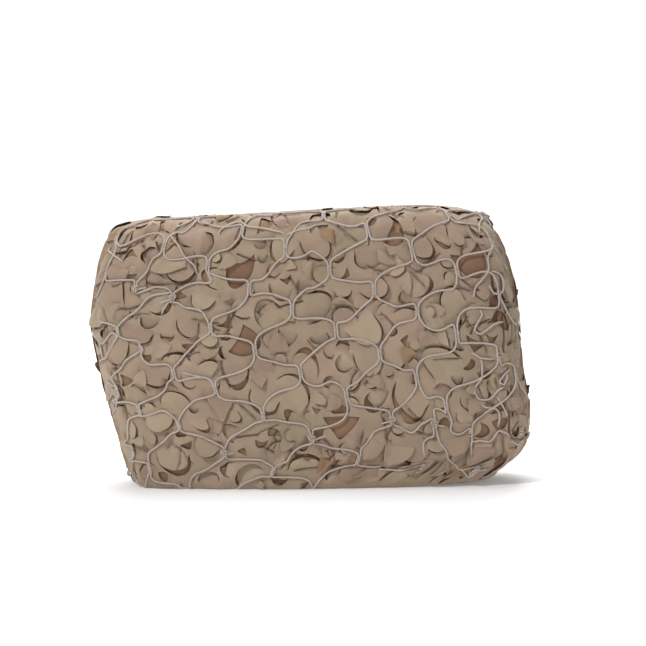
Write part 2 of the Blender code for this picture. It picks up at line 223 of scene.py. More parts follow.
def lumps(u, v, size, seed):
    """Smooth noise from -1 to 1 over the map, with lumps of about a size."""
    grid = np.random.default_rng(seed).uniform(-1.0, 1.0, (NOISE_CELLS, NOISE_CELLS))
    x = np.asarray(u) / size + NOISE_SHIFT
    y = np.asarray(v) / size + NOISE_SHIFT
    cell, row = np.floor(x).astype(int), np.floor(y).astype(int)
    fx, fy = x - cell, y - row
    fx, fy = fx * fx * (3 - 2 * fx), fy * fy * (3 - 2 * fy)

    def along_row(number):
        left, right = (grid[number % NOISE_CELLS, place % NOISE_CELLS] for place in (cell, cell + 1))
        return left * (1 - fx) + right * fx

    return along_row(row) * (1 - fy) + along_row(row + 1) * fy


def ramp(value, low, high):
    """0 below low, 1 above high and smooth between."""
    part = np.clip((np.asarray(value) - low) / (high - low), 0.0, 1.0)
    return part * part * (3 - 2 * part)


def unit(vectors):
    """Vectors brought to length 1."""
    return vectors / np.maximum(np.linalg.norm(vectors, axis=-1, keepdims=True), 1e-12)


def beside(ahead):
    """The direction to the left of a direction on the map."""
    return np.stack([-ahead[..., 1], ahead[..., 0]], axis=-1)


def run_along(points):
    """The length along a line up to each of its points."""
    return np.concatenate([[0.0], np.cumsum(np.linalg.norm(np.diff(points, axis=0), axis=1))])


def points_at(lengths, line, run):
    """The points of a flat line at lengths along it."""
    return np.stack([np.interp(lengths, run, line[:, 0]), np.interp(lengths, run, line[:, 1])], axis=1)


def grid_triangles(rows, columns):
    """The two triangles of each square between points that lie in rows and columns."""
    row, place = np.meshgrid(np.arange(rows - 1), np.arange(columns - 1), indexing="ij")
    a = (row * columns + place).ravel()
    b, c, d = a + 1, a + columns, a + columns + 1
    return np.vstack([np.stack([a, d, b], axis=1), np.stack([a, c, d], axis=1)])


# ---- The bundle's shape ----------------------------------------------
TOE_RADIUS = 0.008  # how the outer ply turns under at the foot of the front
END_RADIUS = 0.009  # and round the bundle's ends
FLOOR_CLEAR = 0.0004
SLOPE_STEP = 0.0015  # over how much of the map the direction out is measured
FOOT_TURN = 0.35  # the share of the turn past an end that is left near the floor


def bundle(across, y, z):
    """Where points of the square section come to lie: across is 0 at the left end and 1 at the right."""
    inside = np.clip(across, 0.0, 1.0)
    lift = np.interp(inside, *LIFT)
    height = lift + (np.interp(inside, *TOP) - lift) * z / HEIGHT
    side = y / (DEPTH / 2)
    half = np.where(y < 0, np.interp(inside, *FRONT), np.interp(inside, *BACK))
    swell = SWELL * np.sin(math.pi * (SWELL_WAVES[0] * inside + SWELL_WAVES[1] * z / HEIGHT))
    depth = side * half * np.interp(height, *FULL) + np.interp(height, *LEAN) + swell
    drawn_in = np.clip(np.interp(inside, *INSET), 0.0, None) * side**2
    left, right = np.interp(height, *LEFT), np.interp(height, *RIGHT)
    x = left + across * (right - left) + np.where(across < 0.5, drawn_in, -drawn_in)
    return np.stack([x, depth, height], axis=-1)


def arc(centre_y, centre_z, radius, start, end, steps):
    """Points round an arc, angles in degrees from +y towards +z."""
    angles = np.radians(np.linspace(start, end, steps + 1))
    return np.stack([centre_y + radius * np.cos(angles), centre_z + radius * np.sin(angles)], axis=1)


def outer_line():
    """The outline of the square section, from under the front's foot all round, and v at its points."""
    front, back = -DEPTH / 2, DEPTH / 2
    top_radius = TOP_RADIUS + LAYER / 2
    heel = HEEL_RADIUS + LAYER / 2
    toe = arc(front + TOE_RADIUS, TOE_RADIUS, TOE_RADIUS, 270, 180, 10)
    points = np.vstack(
        [
            toe,
            arc(front + top_radius, HEIGHT - top_radius, top_radius, 180, 90, 20),
            arc(back - top_radius, HEIGHT - top_radius, top_radius, 90, 0, 20),
            arc(back - heel, heel, heel, 0, -90, 10),
            [(front + TOE_RADIUS, 0.0)],
        ]
    )
    run = run_along(points)
    return points, run - run[len(toe) - 1] + TOE_RADIUS


OUTER, RUN = outer_line()
V_FIRST, V_LAST = RUN[0], RUN[-1]
V_TOP = HEIGHT + DEPTH / 2 - TOP_RADIUS * (2 - math.pi / 2)  # the middle of the top
V_BACK_FOOT = RUN[-3]  # where the back's heel has nearly turned under


def face_point(u, v):
    """A point of the plain outer face."""
    return bundle(u / LENGTH, np.interp(v, RUN, OUTER[:, 0]), np.interp(v, RUN, OUTER[:, 1]))


def end_turn(u):
    """Where points of the map leave the face, as a u, how far in over an end they lie, and their turn."""
    left_end = u < LENGTH / 2
    past = np.where(left_end, END_RADIUS - u, u - (LENGTH - END_RADIUS))
    turn = np.clip(past / END_RADIUS, 0.0, math.pi / 2)
    short = END_RADIUS * (1 - np.sin(turn))
    leaves_at = np.where(past > 0, np.where(left_end, short, LENGTH - short), u)
    straight = np.clip(past - END_RADIUS * math.pi / 2, 0, None)
    return leaves_at, np.where(past > 0, END_RADIUS * (1 - np.cos(turn)) + straight, 0.0), turn


def skin(u, v, rise):
    """Points over the outer face, and the direction out from there. Past an end they turn in over it."""
    u, v, rise = np.broadcast_arrays(np.asarray(u, float), np.asarray(v, float), np.asarray(rise, float))
    flat_u, inward, turn = end_turn(u)
    base = face_point(flat_u, v)
    along = face_point(flat_u + SLOPE_STEP, v) - face_point(flat_u - SLOPE_STEP, v)
    middle = np.clip(v, V_FIRST + SLOPE_STEP, V_LAST - SLOPE_STEP)
    up = face_point(flat_u, middle + SLOPE_STEP) - face_point(flat_u, middle - SLOPE_STEP)
    out = unit(np.cross(along, up))
    end = np.where(u < LENGTH / 2, 0.0, 1.0)
    outwards = (2 * end - 1)[..., None] * np.array([1.0, 0.0, 0.0])
    turned = unit(out * np.cos(turn)[..., None] + outwards * np.sin(turn)[..., None])
    foot = np.minimum(np.abs(v - V_FIRST), np.abs(v - V_BACK_FOOT))
    inward = inward * (FOOT_TURN + (1 - FOOT_TURN) * ramp(foot, 0.02, 0.06))
    points = base - unit(out * np.array([0.0, 1.0, 1.0])) * inward[..., None]
    half = np.where(base[..., 1] < 0, np.interp(end, *FRONT), np.interp(end, *BACK))
    bulge = (base[..., 1] / half) ** 2 - (points[..., 1] / half) ** 2
    drawn = np.clip(np.interp(end, *INSET), 0.0, None) * np.where(inward > 0, bulge, 0.0)
    points = points + outwards * drawn[..., None] + turned * rise[..., None]
    points[..., 2] = np.maximum(points[..., 2], FLOOR_CLEAR)
    return points, turned


FORWARD = np.array([0.0, math.cos(EYE_ABOVE), -math.sin(EYE_ABOVE)])  # the way that the camera looks
EYE_PLACE = np.array(EYE_TARGET) - EYE_DISTANCE * FORWARD


def project(points):
    """The photograph's pixels at which points show."""
    upward = np.array([0.0, math.sin(EYE_ABOVE), math.cos(EYE_ABOVE)])
    away = points - EYE_PLACE
    scale = EYE_DISTANCE / (away @ FORWARD) / PIXEL
    x, y = away[..., 0] * scale, (away @ upward) * scale
    x, y = x * math.cos(EYE_ROLL) - y * math.sin(EYE_ROLL), x * math.sin(EYE_ROLL) + y * math.cos(EYE_ROLL)
    return PHOTO_SIZE / 2 + x, PHOTO_SIZE / 2 - y


def tree_of(points):
    """A search tree over points of the map or of the photograph."""
    tree = kdtree.KDTree(len(points))
    for index, (u, v) in enumerate(points):
        tree.insert((u, v, 0.0), index)
    tree.balance()
    return tree


def seen_map():
    """The points of the map that the camera sees of the bundle, and a search tree of their pixels."""
    step = 0.001
    u, v = np.meshgrid(np.arange(0.0, LENGTH, step), np.arange(0.002, V_TOP, step))
    u, v = u.ravel(), v.ravel()
    return np.stack([u, v], axis=1), tree_of(np.stack(project(skin(u, v, 0.002)[0]), axis=1))


MAP_POINTS, PIXEL_TREE = seen_map()


def on_map(pixels):
    """Where on the map each of some pixels of the photograph lies."""
    return np.array([MAP_POINTS[PIXEL_TREE.find((x, y, 0.0))[1]] for x, y in pixels])


# ---- Where the cords run ---------------------------------------------


def row_place(row, number):
    """Where the rows alone put a joint: its x, and its distance over the bundle."""
    x = FIRST_X[row % 2] + COLUMN * number + ROW_DRIFT * row
    return np.array([x, FIRST_ROW_HEIGHT + ROW * row + ROW_RISE * x])


def joint_places():
    """Every joint of the net on the map, by its row and column, as the CAD model has them."""
    seen = {(row, number): np.array([EYE_X + NEARER * (x - EYE_X), v]) for row, number, x, v in SEEN_JOINTS}
    room = SIDE_ROOM / LENGTH
    places = {}
    for row in range(MOST_ROWS):
        for number in range(MOST_COLUMNS):
            spot = row_place(row, number)
            weights = {k: math.exp(-((np.linalg.norm(p - spot) / PULL_REACH) ** 2)) for k, p in seen.items()}
            pull = sum(w * (seen[k] - row_place(*k)) for k, w in weights.items())
            x, v = seen.get((row, number), spot + pull / (PULL_REST + sum(weights.values())))
            if not LOWEST <= v <= HIGHEST:
                continue
            height = np.interp(v, RUN, OUTER[:, 1])
            left, right = np.interp(height, *LEFT), np.interp(height, *RIGHT)
            across = (x - left) / (right - left)
            if -room <= across <= 1 + room:
                places[row, number] = np.array([min(max(across, END_MARGIN), 1 - END_MARGIN) * LENGTH, v])
    return places


JOINTS = joint_places()


def spline(points, step):
    """A smooth curve through points, with a point about every step."""
    points = np.asarray(points, float)
    ends = np.vstack([2 * points[0] - points[1], points, 2 * points[-1] - points[-2]])
    curve = []
    for index in range(len(points) - 1):
        before, start, end, after = ends[index : index + 4]
        count = max(int(math.ceil(np.linalg.norm(end - start) / step)), 1)
        part = np.linspace(0.0, 1.0, count, endpoint=False)[:, None]
        squared = (2 * before - 5 * start + 4 * end - after) * part**2
        cubed = (3 * start - before - 3 * end + after) * part**3
        curve.append(0.5 * (2 * start + (end - before) * part + squared + cubed))
    return np.vstack(curve + [points[-1:]])


# Cords that show, each with the joints that it runs between, or None where it ends under the cloth, and the
# pixels of the photograph that it passes.
SEEN_CORDS = (
    # from, to, pixels
    ((6, 0), (5, 0), ((126, 360), (121, 368), (112, 378))),
    (None, (5, 0), ((95, 377), (101, 379), (105, 382))),
    ((5, 0), (4, 0), ((110, 401), (118, 402), (127, 402))),
    ((6, 0), (5, 1), ((141, 354), (144, 360), (149, 364), (158, 364), (166, 364))),
    ((6, 1), (5, 1), ((198, 341), (192, 347), (185, 355), (179, 362))),
    ((5, 1), (4, 0), ((168, 383), (165, 390), (158, 396), (150, 399), (143, 402))),
    (None, (4, 1), ((179, 371), (183, 373), (196, 376), (207, 378))),
    ((4, 1), (3, 1), ((207, 397), (198, 399), (192, 403), (184, 411))),
    ((4, 0), (3, 1), ((139, 416), (145, 416), (152, 414), (161, 411), (169, 413))),
    ((4, 0), (3, 0), ((129, 419), (128, 428), (128, 437), (125, 443))),
    ((3, 0), (2, 0), ((129, 460), (137, 461))),
    ((3, 1), (2, 0), ((171, 434), (163, 442), (155, 448), (149, 454))),
    ((3, 1), (2, 1), ((183, 432), (192, 434), (202, 437), (211, 441))),
    ((2, 1), (1, 1), ((214, 464), (205, 470), (196, 474))),
    ((2, 0), (1, 1), ((151, 477), (155, 481), (163, 483), (174, 484))),
    ((3, 2), (2, 1), ((255, 423), (246, 428), (237, 434), (230, 438))),
    ((3, 2), (2, 2), ((275, 420), (287, 422), (300, 424), (307, 427))),
    ((2, 1), (1, 2), ((231, 459), (241, 459), (260, 460), (265, 462))),
    ((2, 2), (1, 2), ((302, 446), (295, 451), (290, 456), (287, 461), (280, 464))),
    ((1, 2), (0, 1), ((262, 476), (252, 480), (242, 484))),
    ((1, 2), (0, 2), ((280, 477), (300, 478))),
    ((1, 3), (0, 2), ((350, 465), (341, 467), (332, 470), (326, 474))),
    ((2, 2), (1, 3), ((317, 444), (325, 446), (332, 448), (350, 450))),
    ((2, 3), (1, 3), ((386, 427), (379, 429), (374, 432), (370, 439), (366, 444), (361, 449))),
    ((1, 3), None, ((365, 466), (372, 467), (379, 467), (385, 466))),
    (None, (0, 3), ((376, 468), (380, 469), (391, 470), (402, 470))),
    ((2, 3), (1, 4), ((399, 427), (406, 431), (412, 432), (417, 429), (421, 424), (426, 422))),
    ((1, 4), None, ((433, 436), (428, 438), (424, 443), (424, 450), (425, 460))),
    ((1, 4), (0, 4), ((439, 441), (443, 446), (447, 452), (449, 459), (456, 466), (461, 470))),
    ((1, 5), None, ((471, 447), (471, 455), (470, 461))),
    ((2, 4), (1, 5), ((452, 422), (451, 428), (453, 433), (460, 434))),
    ((1, 5), None, ((473, 442), (480, 440), (487, 442), (491, 441), (498, 432), (502, 431), (508, 434),
                    (511, 439))),
    ((7, 0), (6, 0), ((118, 335), (125, 339))),
    ((7, 1), (7, 0), ((162, 294), (154, 295), (147, 299), (141, 306), (134, 312), (126, 318))),
    (None, (7, 0), ((88, 323), (96, 323), (103, 322))),
    ((7, 0), None, ((112, 333), (105, 341), (97, 344), (95, 349), (98, 357), (99, 364))),
    ((7, 1), (6, 1), ((177, 302), (185, 307), (194, 309), (202, 312))),
    ((7, 1), None, ((169, 302), (164, 309), (160, 316))),
    ((8, 1), (7, 1), ((211, 282), (196, 283), (185, 286))),
    ((8, 0), (7, 1), ((147, 290), (156, 287), (166, 288))),
    (None, None, ((99, 242), (103, 245), (110, 252), (120, 260), (126, 264))),
    (None, None, ((171, 231), (172, 237), (178, 245), (181, 250), (186, 258), (194, 266), (197, 274))),
    (None, None, ((191, 212), (193, 219), (186, 224), (177, 227), (171, 232))),
    (None, None, ((219, 238), (220, 231), (228, 226), (240, 222), (248, 227), (262, 228), (276, 231),
                  (288, 234))),
    (None, None, ((284, 232), (288, 234), (298, 230), (310, 228), (320, 222))),
    (None, None, ((468, 352), (474, 354), (481, 358), (491, 359), (497, 361))),
    (None, None, ((480, 355), (482, 362), (482, 376), (478, 383), (474, 390))),
    (None, None, ((505, 321), (496, 323), (486, 330), (480, 334), (475, 330), (479, 320), (482, 314),
                  (478, 307))),
    (None, None, ((474, 300), (475, 289), (481, 281), (486, 275), (489, 268), (488, 257), (493, 246),
                  (498, 238))),
    (None, None, ((488, 268), (493, 271), (500, 275), (503, 281), (503, 290), (499, 294), (493, 292),
                  (488, 281))),
    (None, None, ((455, 220), (462, 218), (470, 215), (478, 215), (482, 219), (479, 226), (480, 236))),
    (None, None, ((512, 367), (507, 372), (502, 377), (500, 382), (504, 384), (507, 377), (506, 368))),
    (None, None, ((507, 385), (499, 390), (494, 395), (489, 399), (480, 399), (476, 394), (473, 387))),
    (None, None, ((495, 393), (501, 402), (505, 410), (509, 419))),
    (None, None, ((479, 400), (484, 406), (490, 408), (496, 410), (499, 415), (499, 427))),
    (None, None, ((458, 467), (463, 471), (468, 477), (474, 475), (478, 469), (482, 465))),
    (None, None, ((511, 439), (514, 443), (520, 444), (533, 444))),
)
# Bars of the net that the photograph doesn't show between their joints.
UNTIED = (
    ((8, 0), (7, 0)),
    ((7, 1), (6, 0)),
    ((1, 4), (0, 3)),
    ((1, 3), (0, 3)),
    ((1, 5), (0, 4)),
    ((1, 5), (0, 5)),
)
CORD_STEP = 0.0016
CORD_RISE = 0.0009 + CORD / 2  # a cord's middle over the outer face: it presses the cloth down to 0.9 mm
CORD_SINK = 0.0045  # how deep a cord's end goes that dives under the cloth
CORD_DIVE = 0.009  # and over what length
CORD_PAST_END = 0.014  # how far past the bundle's end a bar goes that runs round it
CORD_DROP = 0.02, 0.25  # how far such a bar falls, and how much more for its length
BAR_BOW, BAR_TWIST = 0.0045, 0.0030  # how unevenly the bars lie that don't show


def port(joint, side, level):
    """A strand at a joint. Its side is -1 or 1 for left or right, its level -1 to 1 from foot to top."""
    return JOINTS[joint] + np.array([side * CORD / 2, level * JOINT / 2])


def lattice():
    """Each bar of the net: the joint that it leaves downwards, by which side, and the joint it reaches."""
    for row, number in JOINTS:
        first = number - row % 2
        for side, other in ((-1, (row - 1, first)), (1, (row - 1, first + 1))):
            yield (row, number), side, other


def plain_bar(start, end, generator):
    """The way of a bar that doesn't show: out along the joint, over to the next and in along that."""
    part = np.linspace(0.0, 1.0, 9)[:, None]
    rest = 1 - part
    near_start = rest**3 + 3 * rest**2 * part
    way = near_start * start + (1 - near_start) * end
    way[:, 1:] += 3 * rest * part * (part - rest) * BAR_HANDLE
    bow, twist = generator.normal(0.0, BAR_BOW, 2), generator.normal(0.0, BAR_TWIST, 2)
    swing = np.sin(math.pi * part)
    return way + swing**2 * bow + swing * np.sin(2 * math.pi * part) * twist


def under_the_foot(way):
    """Two more points for a way that goes on round the foot of the front."""
    last = way[-1] + 0.6 * (way[-1] - way[-2]) - (0.0, 0.004)
    return [last, (2 * last[0] - way[-1, 0], V_FIRST + 0.001)]


def net_bars():
    """The net's bars down from each joint: their points on the map, and whether each end dives under."""
    generator = np.random.default_rng(11)
    traced = {(start, end): on_map(pixels) for start, end, pixels in SEEN_CORDS if start and end}
    for upper, side, lower in lattice():
        if (upper, lower) in UNTIED:
            continue
        top, start = port(upper, side, 0), port(upper, side, -1)
        middle = traced.get((upper, lower))
        if lower in JOINTS:
            end, foot = port(lower, -side, 1), port(lower, -side, 0)
            way = plain_bar(start, end, generator) if middle is None else [start, *middle, end]
            yield np.vstack([top, *way, foot]), False, False
        elif middle is not None:
            yield np.vstack([top, start, middle, under_the_foot(middle)]), False, False
        elif lower[0] >= 0:
            edge = -CORD_PAST_END if side < 0 else LENGTH + CORD_PAST_END
            far = abs(edge - start[0])
            if far < COLUMN:
                drop = np.array([edge, start[1] - CORD_DROP[0] - CORD_DROP[1] * far])
                yield np.vstack([top, start, (start + drop) / 2 + (0.0, -0.006), drop]), False, True


def stray_cords():
    """The cords that show and aren't bars of the net, given as the bars are."""
    bars = [(upper, lower) for upper, _, lower in lattice()]
    for start, end, pixels in SEEN_CORDS:
        if (start, end) in bars:
            continue
        way = on_map(pixels)
        if start:
            side, level = np.where(way[0] > JOINTS[start], 1, -1)
            way = np.vstack([port(start, side, 0), port(start, side, level), way])
        if end in JOINTS:
            side, level = np.where(way[-1] > JOINTS[end], 1, -1)
            way = np.vstack([way, port(end, side, level), port(end, side, 0)])
        yield way, not start, end not in JOINTS


def cord_line(way, dives_first, dives_last):
    """A cord's points on the map, in even steps, with their rise over the outer face."""
    line = spline(way, CORD_STEP)
    run = run_along(line)
    even = np.linspace(0.0, run[-1], max(int(run[-1] / CORD_STEP), 3) + 1)
    rises = np.full(len(even), CORD_RISE)
    for dives, from_end in ((dives_first, even), (dives_last, run[-1] - even)):
        if dives:
            rises -= CORD_SINK * (1 - ramp(from_end, 0.0, CORD_DIVE))
    return points_at(even, line, run), rises


CORD_LINES = [cord_line(*way) for way in (*net_bars(), *stray_cords())]
CORD_TREE = tree_of(np.vstack([line[rises > 0.001] for line, rises in CORD_LINES]))


def to_cord(spots):
    """The distance on the map from each spot to the middle of the nearest cord on top of the cloth."""
    return np.array([CORD_TREE.find((u, v, 0.0))[2] for u, v in spots])


# ---- Die-cut cloth ---------------------------------------------------
# Tongues of the outer ply that show: the middle of the hinge in the photograph's pixels, which way the tongue
# points in degrees from the right towards the top, its width and length in pixels, and how it lies. One that
# would cross an earlier one is left out.
SEEN_TONGUES = (
    # x, y, direction, width, length, how
    (114, 341, 268, 33, 22, "shut"),
    (121, 380, 355, 12, 17, "brown"),
    (113, 394, 12, 12, 18, "shut"),
    (154, 368, 258, 31, 21, "open"),
    (176, 405, 95, 30, 14, "shut"),
    (176, 362, 88, 28, 10, "open"),
    (158, 413, 270, 29, 19, "shut"),
    (204, 372, 50, 16, 17, "shut"),
    (200, 400, 262, 26, 13, "under"),
    (141, 457, 92, 26, 16, "under"),
    (172, 452, 268, 34, 24, "open"),
    (189, 458, 140, 18, 14, "shut"),
    (209, 442, 235, 24, 17, "shut"),
    (179, 432, 225, 18, 20, "gone"),
    (238, 436, 152, 18, 17, "under"),
    (233, 445, 5, 22, 24, "brown"),
    (279, 455, 125, 22, 13, "shut"),
    (303, 471, 95, 34, 17, "open"),
    (250, 480, 125, 28, 17, "under"),
    (209, 482, 90, 24, 11, "under"),
    (135, 471, 165, 12, 11, "gone"),
    (341, 417, 268, 36, 22, "brown"),
    (326, 466, 78, 18, 17, "tip"),
    (378, 433, 250, 28, 28, "shut"),
    (403, 447, 142, 18, 17, "open"),
    (410, 441, 288, 26, 26, "shut"),
    (438, 441, 265, 22, 12, "shut"),
    (462, 440, 272, 24, 24, "tip"),
    (488, 442, 262, 30, 26, "shut"),
    (477, 429, 335, 15, 13, "brown"),
    (444, 429, 85, 12, 12, "brown"),
    (448, 483, 100, 22, 15, "brown"),
    (426, 476, 85, 12, 15, "tip"),
    (118, 225, 265, 25, 22, "shut"),
    (178, 258, 300, 31, 27, "shut"),
    (112, 309, 98, 29, 40, "shut"),
    (204, 297, 255, 24, 14, "shut"),
    (141, 284, 200, 14, 13, "shut"),
    (166, 235, 265, 16, 14, "open"),
    (151, 256, 150, 16, 10, "under"),
    (196, 236, 175, 22, 23, "shut"),
    (482, 284, 265, 16, 16, "shut"),
    (496, 274, 268, 12, 19, "shut"),
    (479, 317, 180, 26, 12, "shut"),
    (492, 333, 265, 14, 12, "brown"),
    (496, 351, 300, 17, 18, "shut"),
    (484, 383, 265, 12, 16, "shut"),
    (514, 389, 262, 16, 18, "shut"),
    (148, 236, 110, 13, 12, "tip"),
    (139, 328, 250, 30, 16, "shut"),
    (188, 320, 262, 22, 18, "shut"),
    (190, 345, 265, 15, 8, "brown"),
    (354, 468, 262, 26, 12, "shut"),
    (392, 480, 95, 26, 11, "shut"),
    (516, 425, 262, 12, 12, "gone"),
    (361, 457, 150, 17, 12, "brown"),
    (390, 441, 125, 18, 11, "brown"),
    (421, 457, 262, 22, 17, "open"),
    (442, 463, 250, 18, 14, "shut"),
    (404, 471, 268, 22, 12, "open"),
    (463, 470, 280, 18, 13, "shut"),
    (370, 478, 92, 24, 12, "open"),
    (413, 484, 88, 18, 10, "shut"),
    (479, 478, 120, 16, 10, "shut"),
    (494, 470, 255, 16, 14, "open"),
)
# Slits and sunk folds of the outer ply: the photograph's pixels along each, its width and depth in metres.
SEEN_SLITS = (
    # pixels, width, depth
    (((488, 381), (489, 390), (490, 398)), 0.0014, 0.006),
    (((496, 380), (499, 388), (502, 395)), 0.0014, 0.006),
    (((503, 431), (504, 444), (505, 457)), 0.0022, 0.008),
    (((504, 318), (505, 335), (504, 352)), 0.0014, 0.007),
    (((510, 410), (510, 425), (512, 437), (522, 438)), 0.0014, 0.006),
    (((522, 390), (521, 400), (524, 409)), 0.0018, 0.008),
    (((476, 403), (476, 419)), 0.0012, 0.005),
    (((392, 428), (387, 438), (390, 446), (385, 458)), 0.0016, 0.006),
    (((500, 258), (506, 259), (510, 266), (512, 276)), 0.0022, 0.009),
    (((178, 243), (184, 250), (191, 260), (199, 271)), 0.0028, 0.008),
    (((148, 283), (156, 285), (166, 285), (179, 284)), 0.0016, 0.007),
    (((119, 309), (129, 309), (138, 307)), 0.0014, 0.006),
    (((143, 245), (146, 252), (151, 263)), 0.0020, 0.006),
    (((160, 246), (162, 254), (167, 259)), 0.0022, 0.007),
    (((137, 243), (139, 240), (143, 239)), 0.0018, 0.009),
    (((168, 434), (171, 442), (168, 449)), 0.0022, 0.007),
    (((470, 457), (468, 466)), 0.0014, 0.006),
    (((277, 432), (274, 437), (277, 442), (274, 448)), 0.0009, 0.003),
    (((296, 470), (312, 467), (330, 466), (345, 467)), 0.0010, 0.004),
    (((262, 448), (268, 449), (272, 452)), 0.0014, 0.006),
    (((487, 402), (493, 405), (499, 412)), 0.0016, 0.006),
    (((508, 396), (513, 404), (510, 412)), 0.0016, 0.007),
)
SHAPES = {
    # how: least and most share by which it draws back, rise at its tip, rise of the cloth beside it
    "shut": (-0.02, 0.15, 0.0031, -0.0014),
    "tip": (-0.02, 0.12, 0.0034, -0.0014),
    "open": (0.16, 0.34, 0.0030, -0.0002),
    "under": (0.00, 0.12, -0.0034, 0.0014),
    "gone": (0.45, 0.65, -0.0026, 0.0006),
    "brown": (0.0, 0.0, -0.0021, 0.0009),
}
OTHER_WAYS = 4 * ("shut",) + 2 * ("under",) + 3 * ("open",) + ("tip",) + 2 * ("brown",) + ("gone",)
TONGUE_REACH = 0.05  # over twice the length of any tongue
TONGUE_MARGIN = 0.0028  # the least cloth between two cuts
SEEN_MARGIN = 0.0012  # and between two that show in the photograph
OUTLINE_STEP = 0.004  # for comparing tongues
BROWN_SPREAD = 1.14  # how far a brown leaf reaches under the edge of the opening that it shows in
AROUND_REACH = 0.008  # how far from a cut its tongue's shape still moves the cloth beside it


class Tongue:
    """A tongue of cloth, cut round three sides, in the sheet's own flat coordinates."""

    def __init__(self, u, v, direction, width, length, how, generator):
        self.hinge = np.array([u, v])
        self.ahead = np.array([math.cos(direction), math.sin(direction)])
        self.aside = beside(self.ahead)
        self.width = width
        self.length = length
        self.how = how
        self.bulge = generator.uniform(0.02, 0.22)
        self.lean = generator.uniform(-0.25, 0.25)
        self.slide = generator.uniform(-0.0020, 0.0020)
        self.twist = generator.uniform(-0.07, 0.07)
        self.narrow = generator.uniform(0.02, 0.12)
        self.curl = generator.uniform(-0.0006, 0.0014)
        self.tone = generator.uniform(-1.0, 1.0)
        self.hollow = generator.uniform(-0.15, 0.42)
        least, most, self.rise, self.around = SHAPES[how]
        self.back = generator.uniform(least, most)
        self.rise *= generator.uniform(0.7, 1.3)

    def outline(self, spacing):
        """The cut, from one end of the hinge round the tip to the other."""
        around = self.width / 2 * math.pi / 2 + self.length
        angles = np.linspace(math.pi, 0.0, max(int(around / spacing), 7) + 1)
        reach = np.sin(angles)
        if self.how == "tip" or self.how == "brown" and self.tone > 0:
            reach = 1 - np.abs(np.cos(angles)) ** 1.25
        sideways = self.width / 2 * np.cos(angles) * (1 + self.bulge * np.sin(2 * angles) ** 2)
        sideways = sideways + self.lean * self.length * reach**2
        return self.hinge + sideways[:, None] * self.aside + self.length * reach[:, None] * self.ahead

    def bent(self, points):
        """Where points of the tongue come to lie, flat, and their rise."""
        away = points - self.hinge
        sideways, ahead = away @ self.aside, away @ self.ahead
        part = np.clip(ahead / self.length, 0.0, 1.0)
        if self.how == "brown":
            rises = self.rise * (0.7 + 0.6 * part)
            sideways = sideways * BROWN_SPREAD
            ahead = (ahead - self.length / 2) * BROWN_SPREAD + self.length / 2
        else:
            soon = ramp(ahead, 0.0, 0.3 * self.length)
            curl = self.curl if self.rise > 0 else 0.0
            rises = self.rise * (0.45 * soon + 0.55 * part**1.3) + curl * ramp(part, 0.55, 1.0)
            sideways = sideways * (1 - self.narrow * soon) + self.slide * part**2 + self.twist * ahead * soon
            ahead = ahead * (1 - self.back * part)
        return self.hinge + sideways[:, None] * self.aside + ahead[:, None] * self.ahead, rises


def inside(points, outline):
    """Which points lie inside a closed outline."""
    found = np.zeros(len(points), bool)
    x, y = points[:, 0], points[:, 1]
    for start, end in zip(outline, np.roll(outline, -1, axis=0)):
        if start[1] == end[1]:
            continue
        crosses = (start[1] > y) != (end[1] > y)
        found ^= crosses & (x < (end[0] - start[0]) * (y - start[1]) / (end[1] - start[1]) + start[0])
    return found


class Fitted:
    """The tongues of a sheet, kept from crossing each other. room is the sheet's least and most u, then v."""

    def __init__(self, room):
        self.tongues = []
        self.room = room
        self.points = np.zeros((0, 2))
        self.middles = np.zeros((0, 2))

    def add(self, tongue, margin):
        """Keeps a tongue if it lies inside the sheet and clear of the others."""
        outline = tongue.outline(OUTLINE_STEP)
        closed = np.vstack([outline, np.linspace(outline[-1], outline[0], 6)[1:-1]])
        low_u, high_u, low_v, high_v = self.room
        (least_u, least_v), (most_u, most_v) = closed.min(axis=0), closed.max(axis=0)
        if least_u < low_u or most_u > high_u or least_v < low_v or most_v > high_v:
            return False
        middle = closed.mean(axis=0)
        near = self.points[np.abs(self.points - middle).max(axis=1) < TONGUE_REACH]
        if len(near):
            gaps = np.linalg.norm(near[:, None] - closed[None], axis=2)
            if gaps.min() < margin or inside(near, closed).any():
                return False
        for index in np.nonzero(np.abs(self.middles - middle).max(axis=1) < TONGUE_REACH)[0]:
            if inside(middle[None], self.tongues[index].outline(OUTLINE_STEP))[0]:
                return False
        self.tongues.append(tongue)
        self.middles = np.vstack([self.middles, middle])
        self.points = np.vstack([self.points, closed])
        return True


def fill(fitted, darts, sizes, generator, hows, bias=None):
    """Adds tongues at random where there is room, as large as fit. Nearly half of them point along bias."""
    low_u, high_u, low_v, high_v = fitted.room
    for _ in range(darts):
        u, v = generator.uniform(low_u, high_u), generator.uniform(low_v, high_v)
        how = hows[generator.integers(len(hows))]
        for size in sizes:
            direction = generator.uniform(0.0, 2 * math.pi)
            if bias is not None and generator.random() < 0.45:
                direction = bias + generator.normal(0.0, 0.6)
            width = size * generator.uniform(0.85, 1.15)
            length = width * generator.uniform(0.55, 1.0)
            if fitted.add(Tongue(u, v, direction, width, length, how, generator), TONGUE_MARGIN):
                break


def border_of(room, spacing):
    """Points round the edge of a sheet."""
    low_u, high_u, low_v, high_v = room
    across = np.linspace(low_u, high_u, int((high_u - low_u) / spacing) + 1)
    up = np.linspace(low_v, high_v, int((high_v - low_v) / spacing) + 1)
    border = [(u, low_v) for u in across] + [(high_u, v) for v in up[1:]]
    return border + [(u, high_v) for u in across[::-1][1:]] + [(low_u, v) for v in up[::-1][1:-1]]


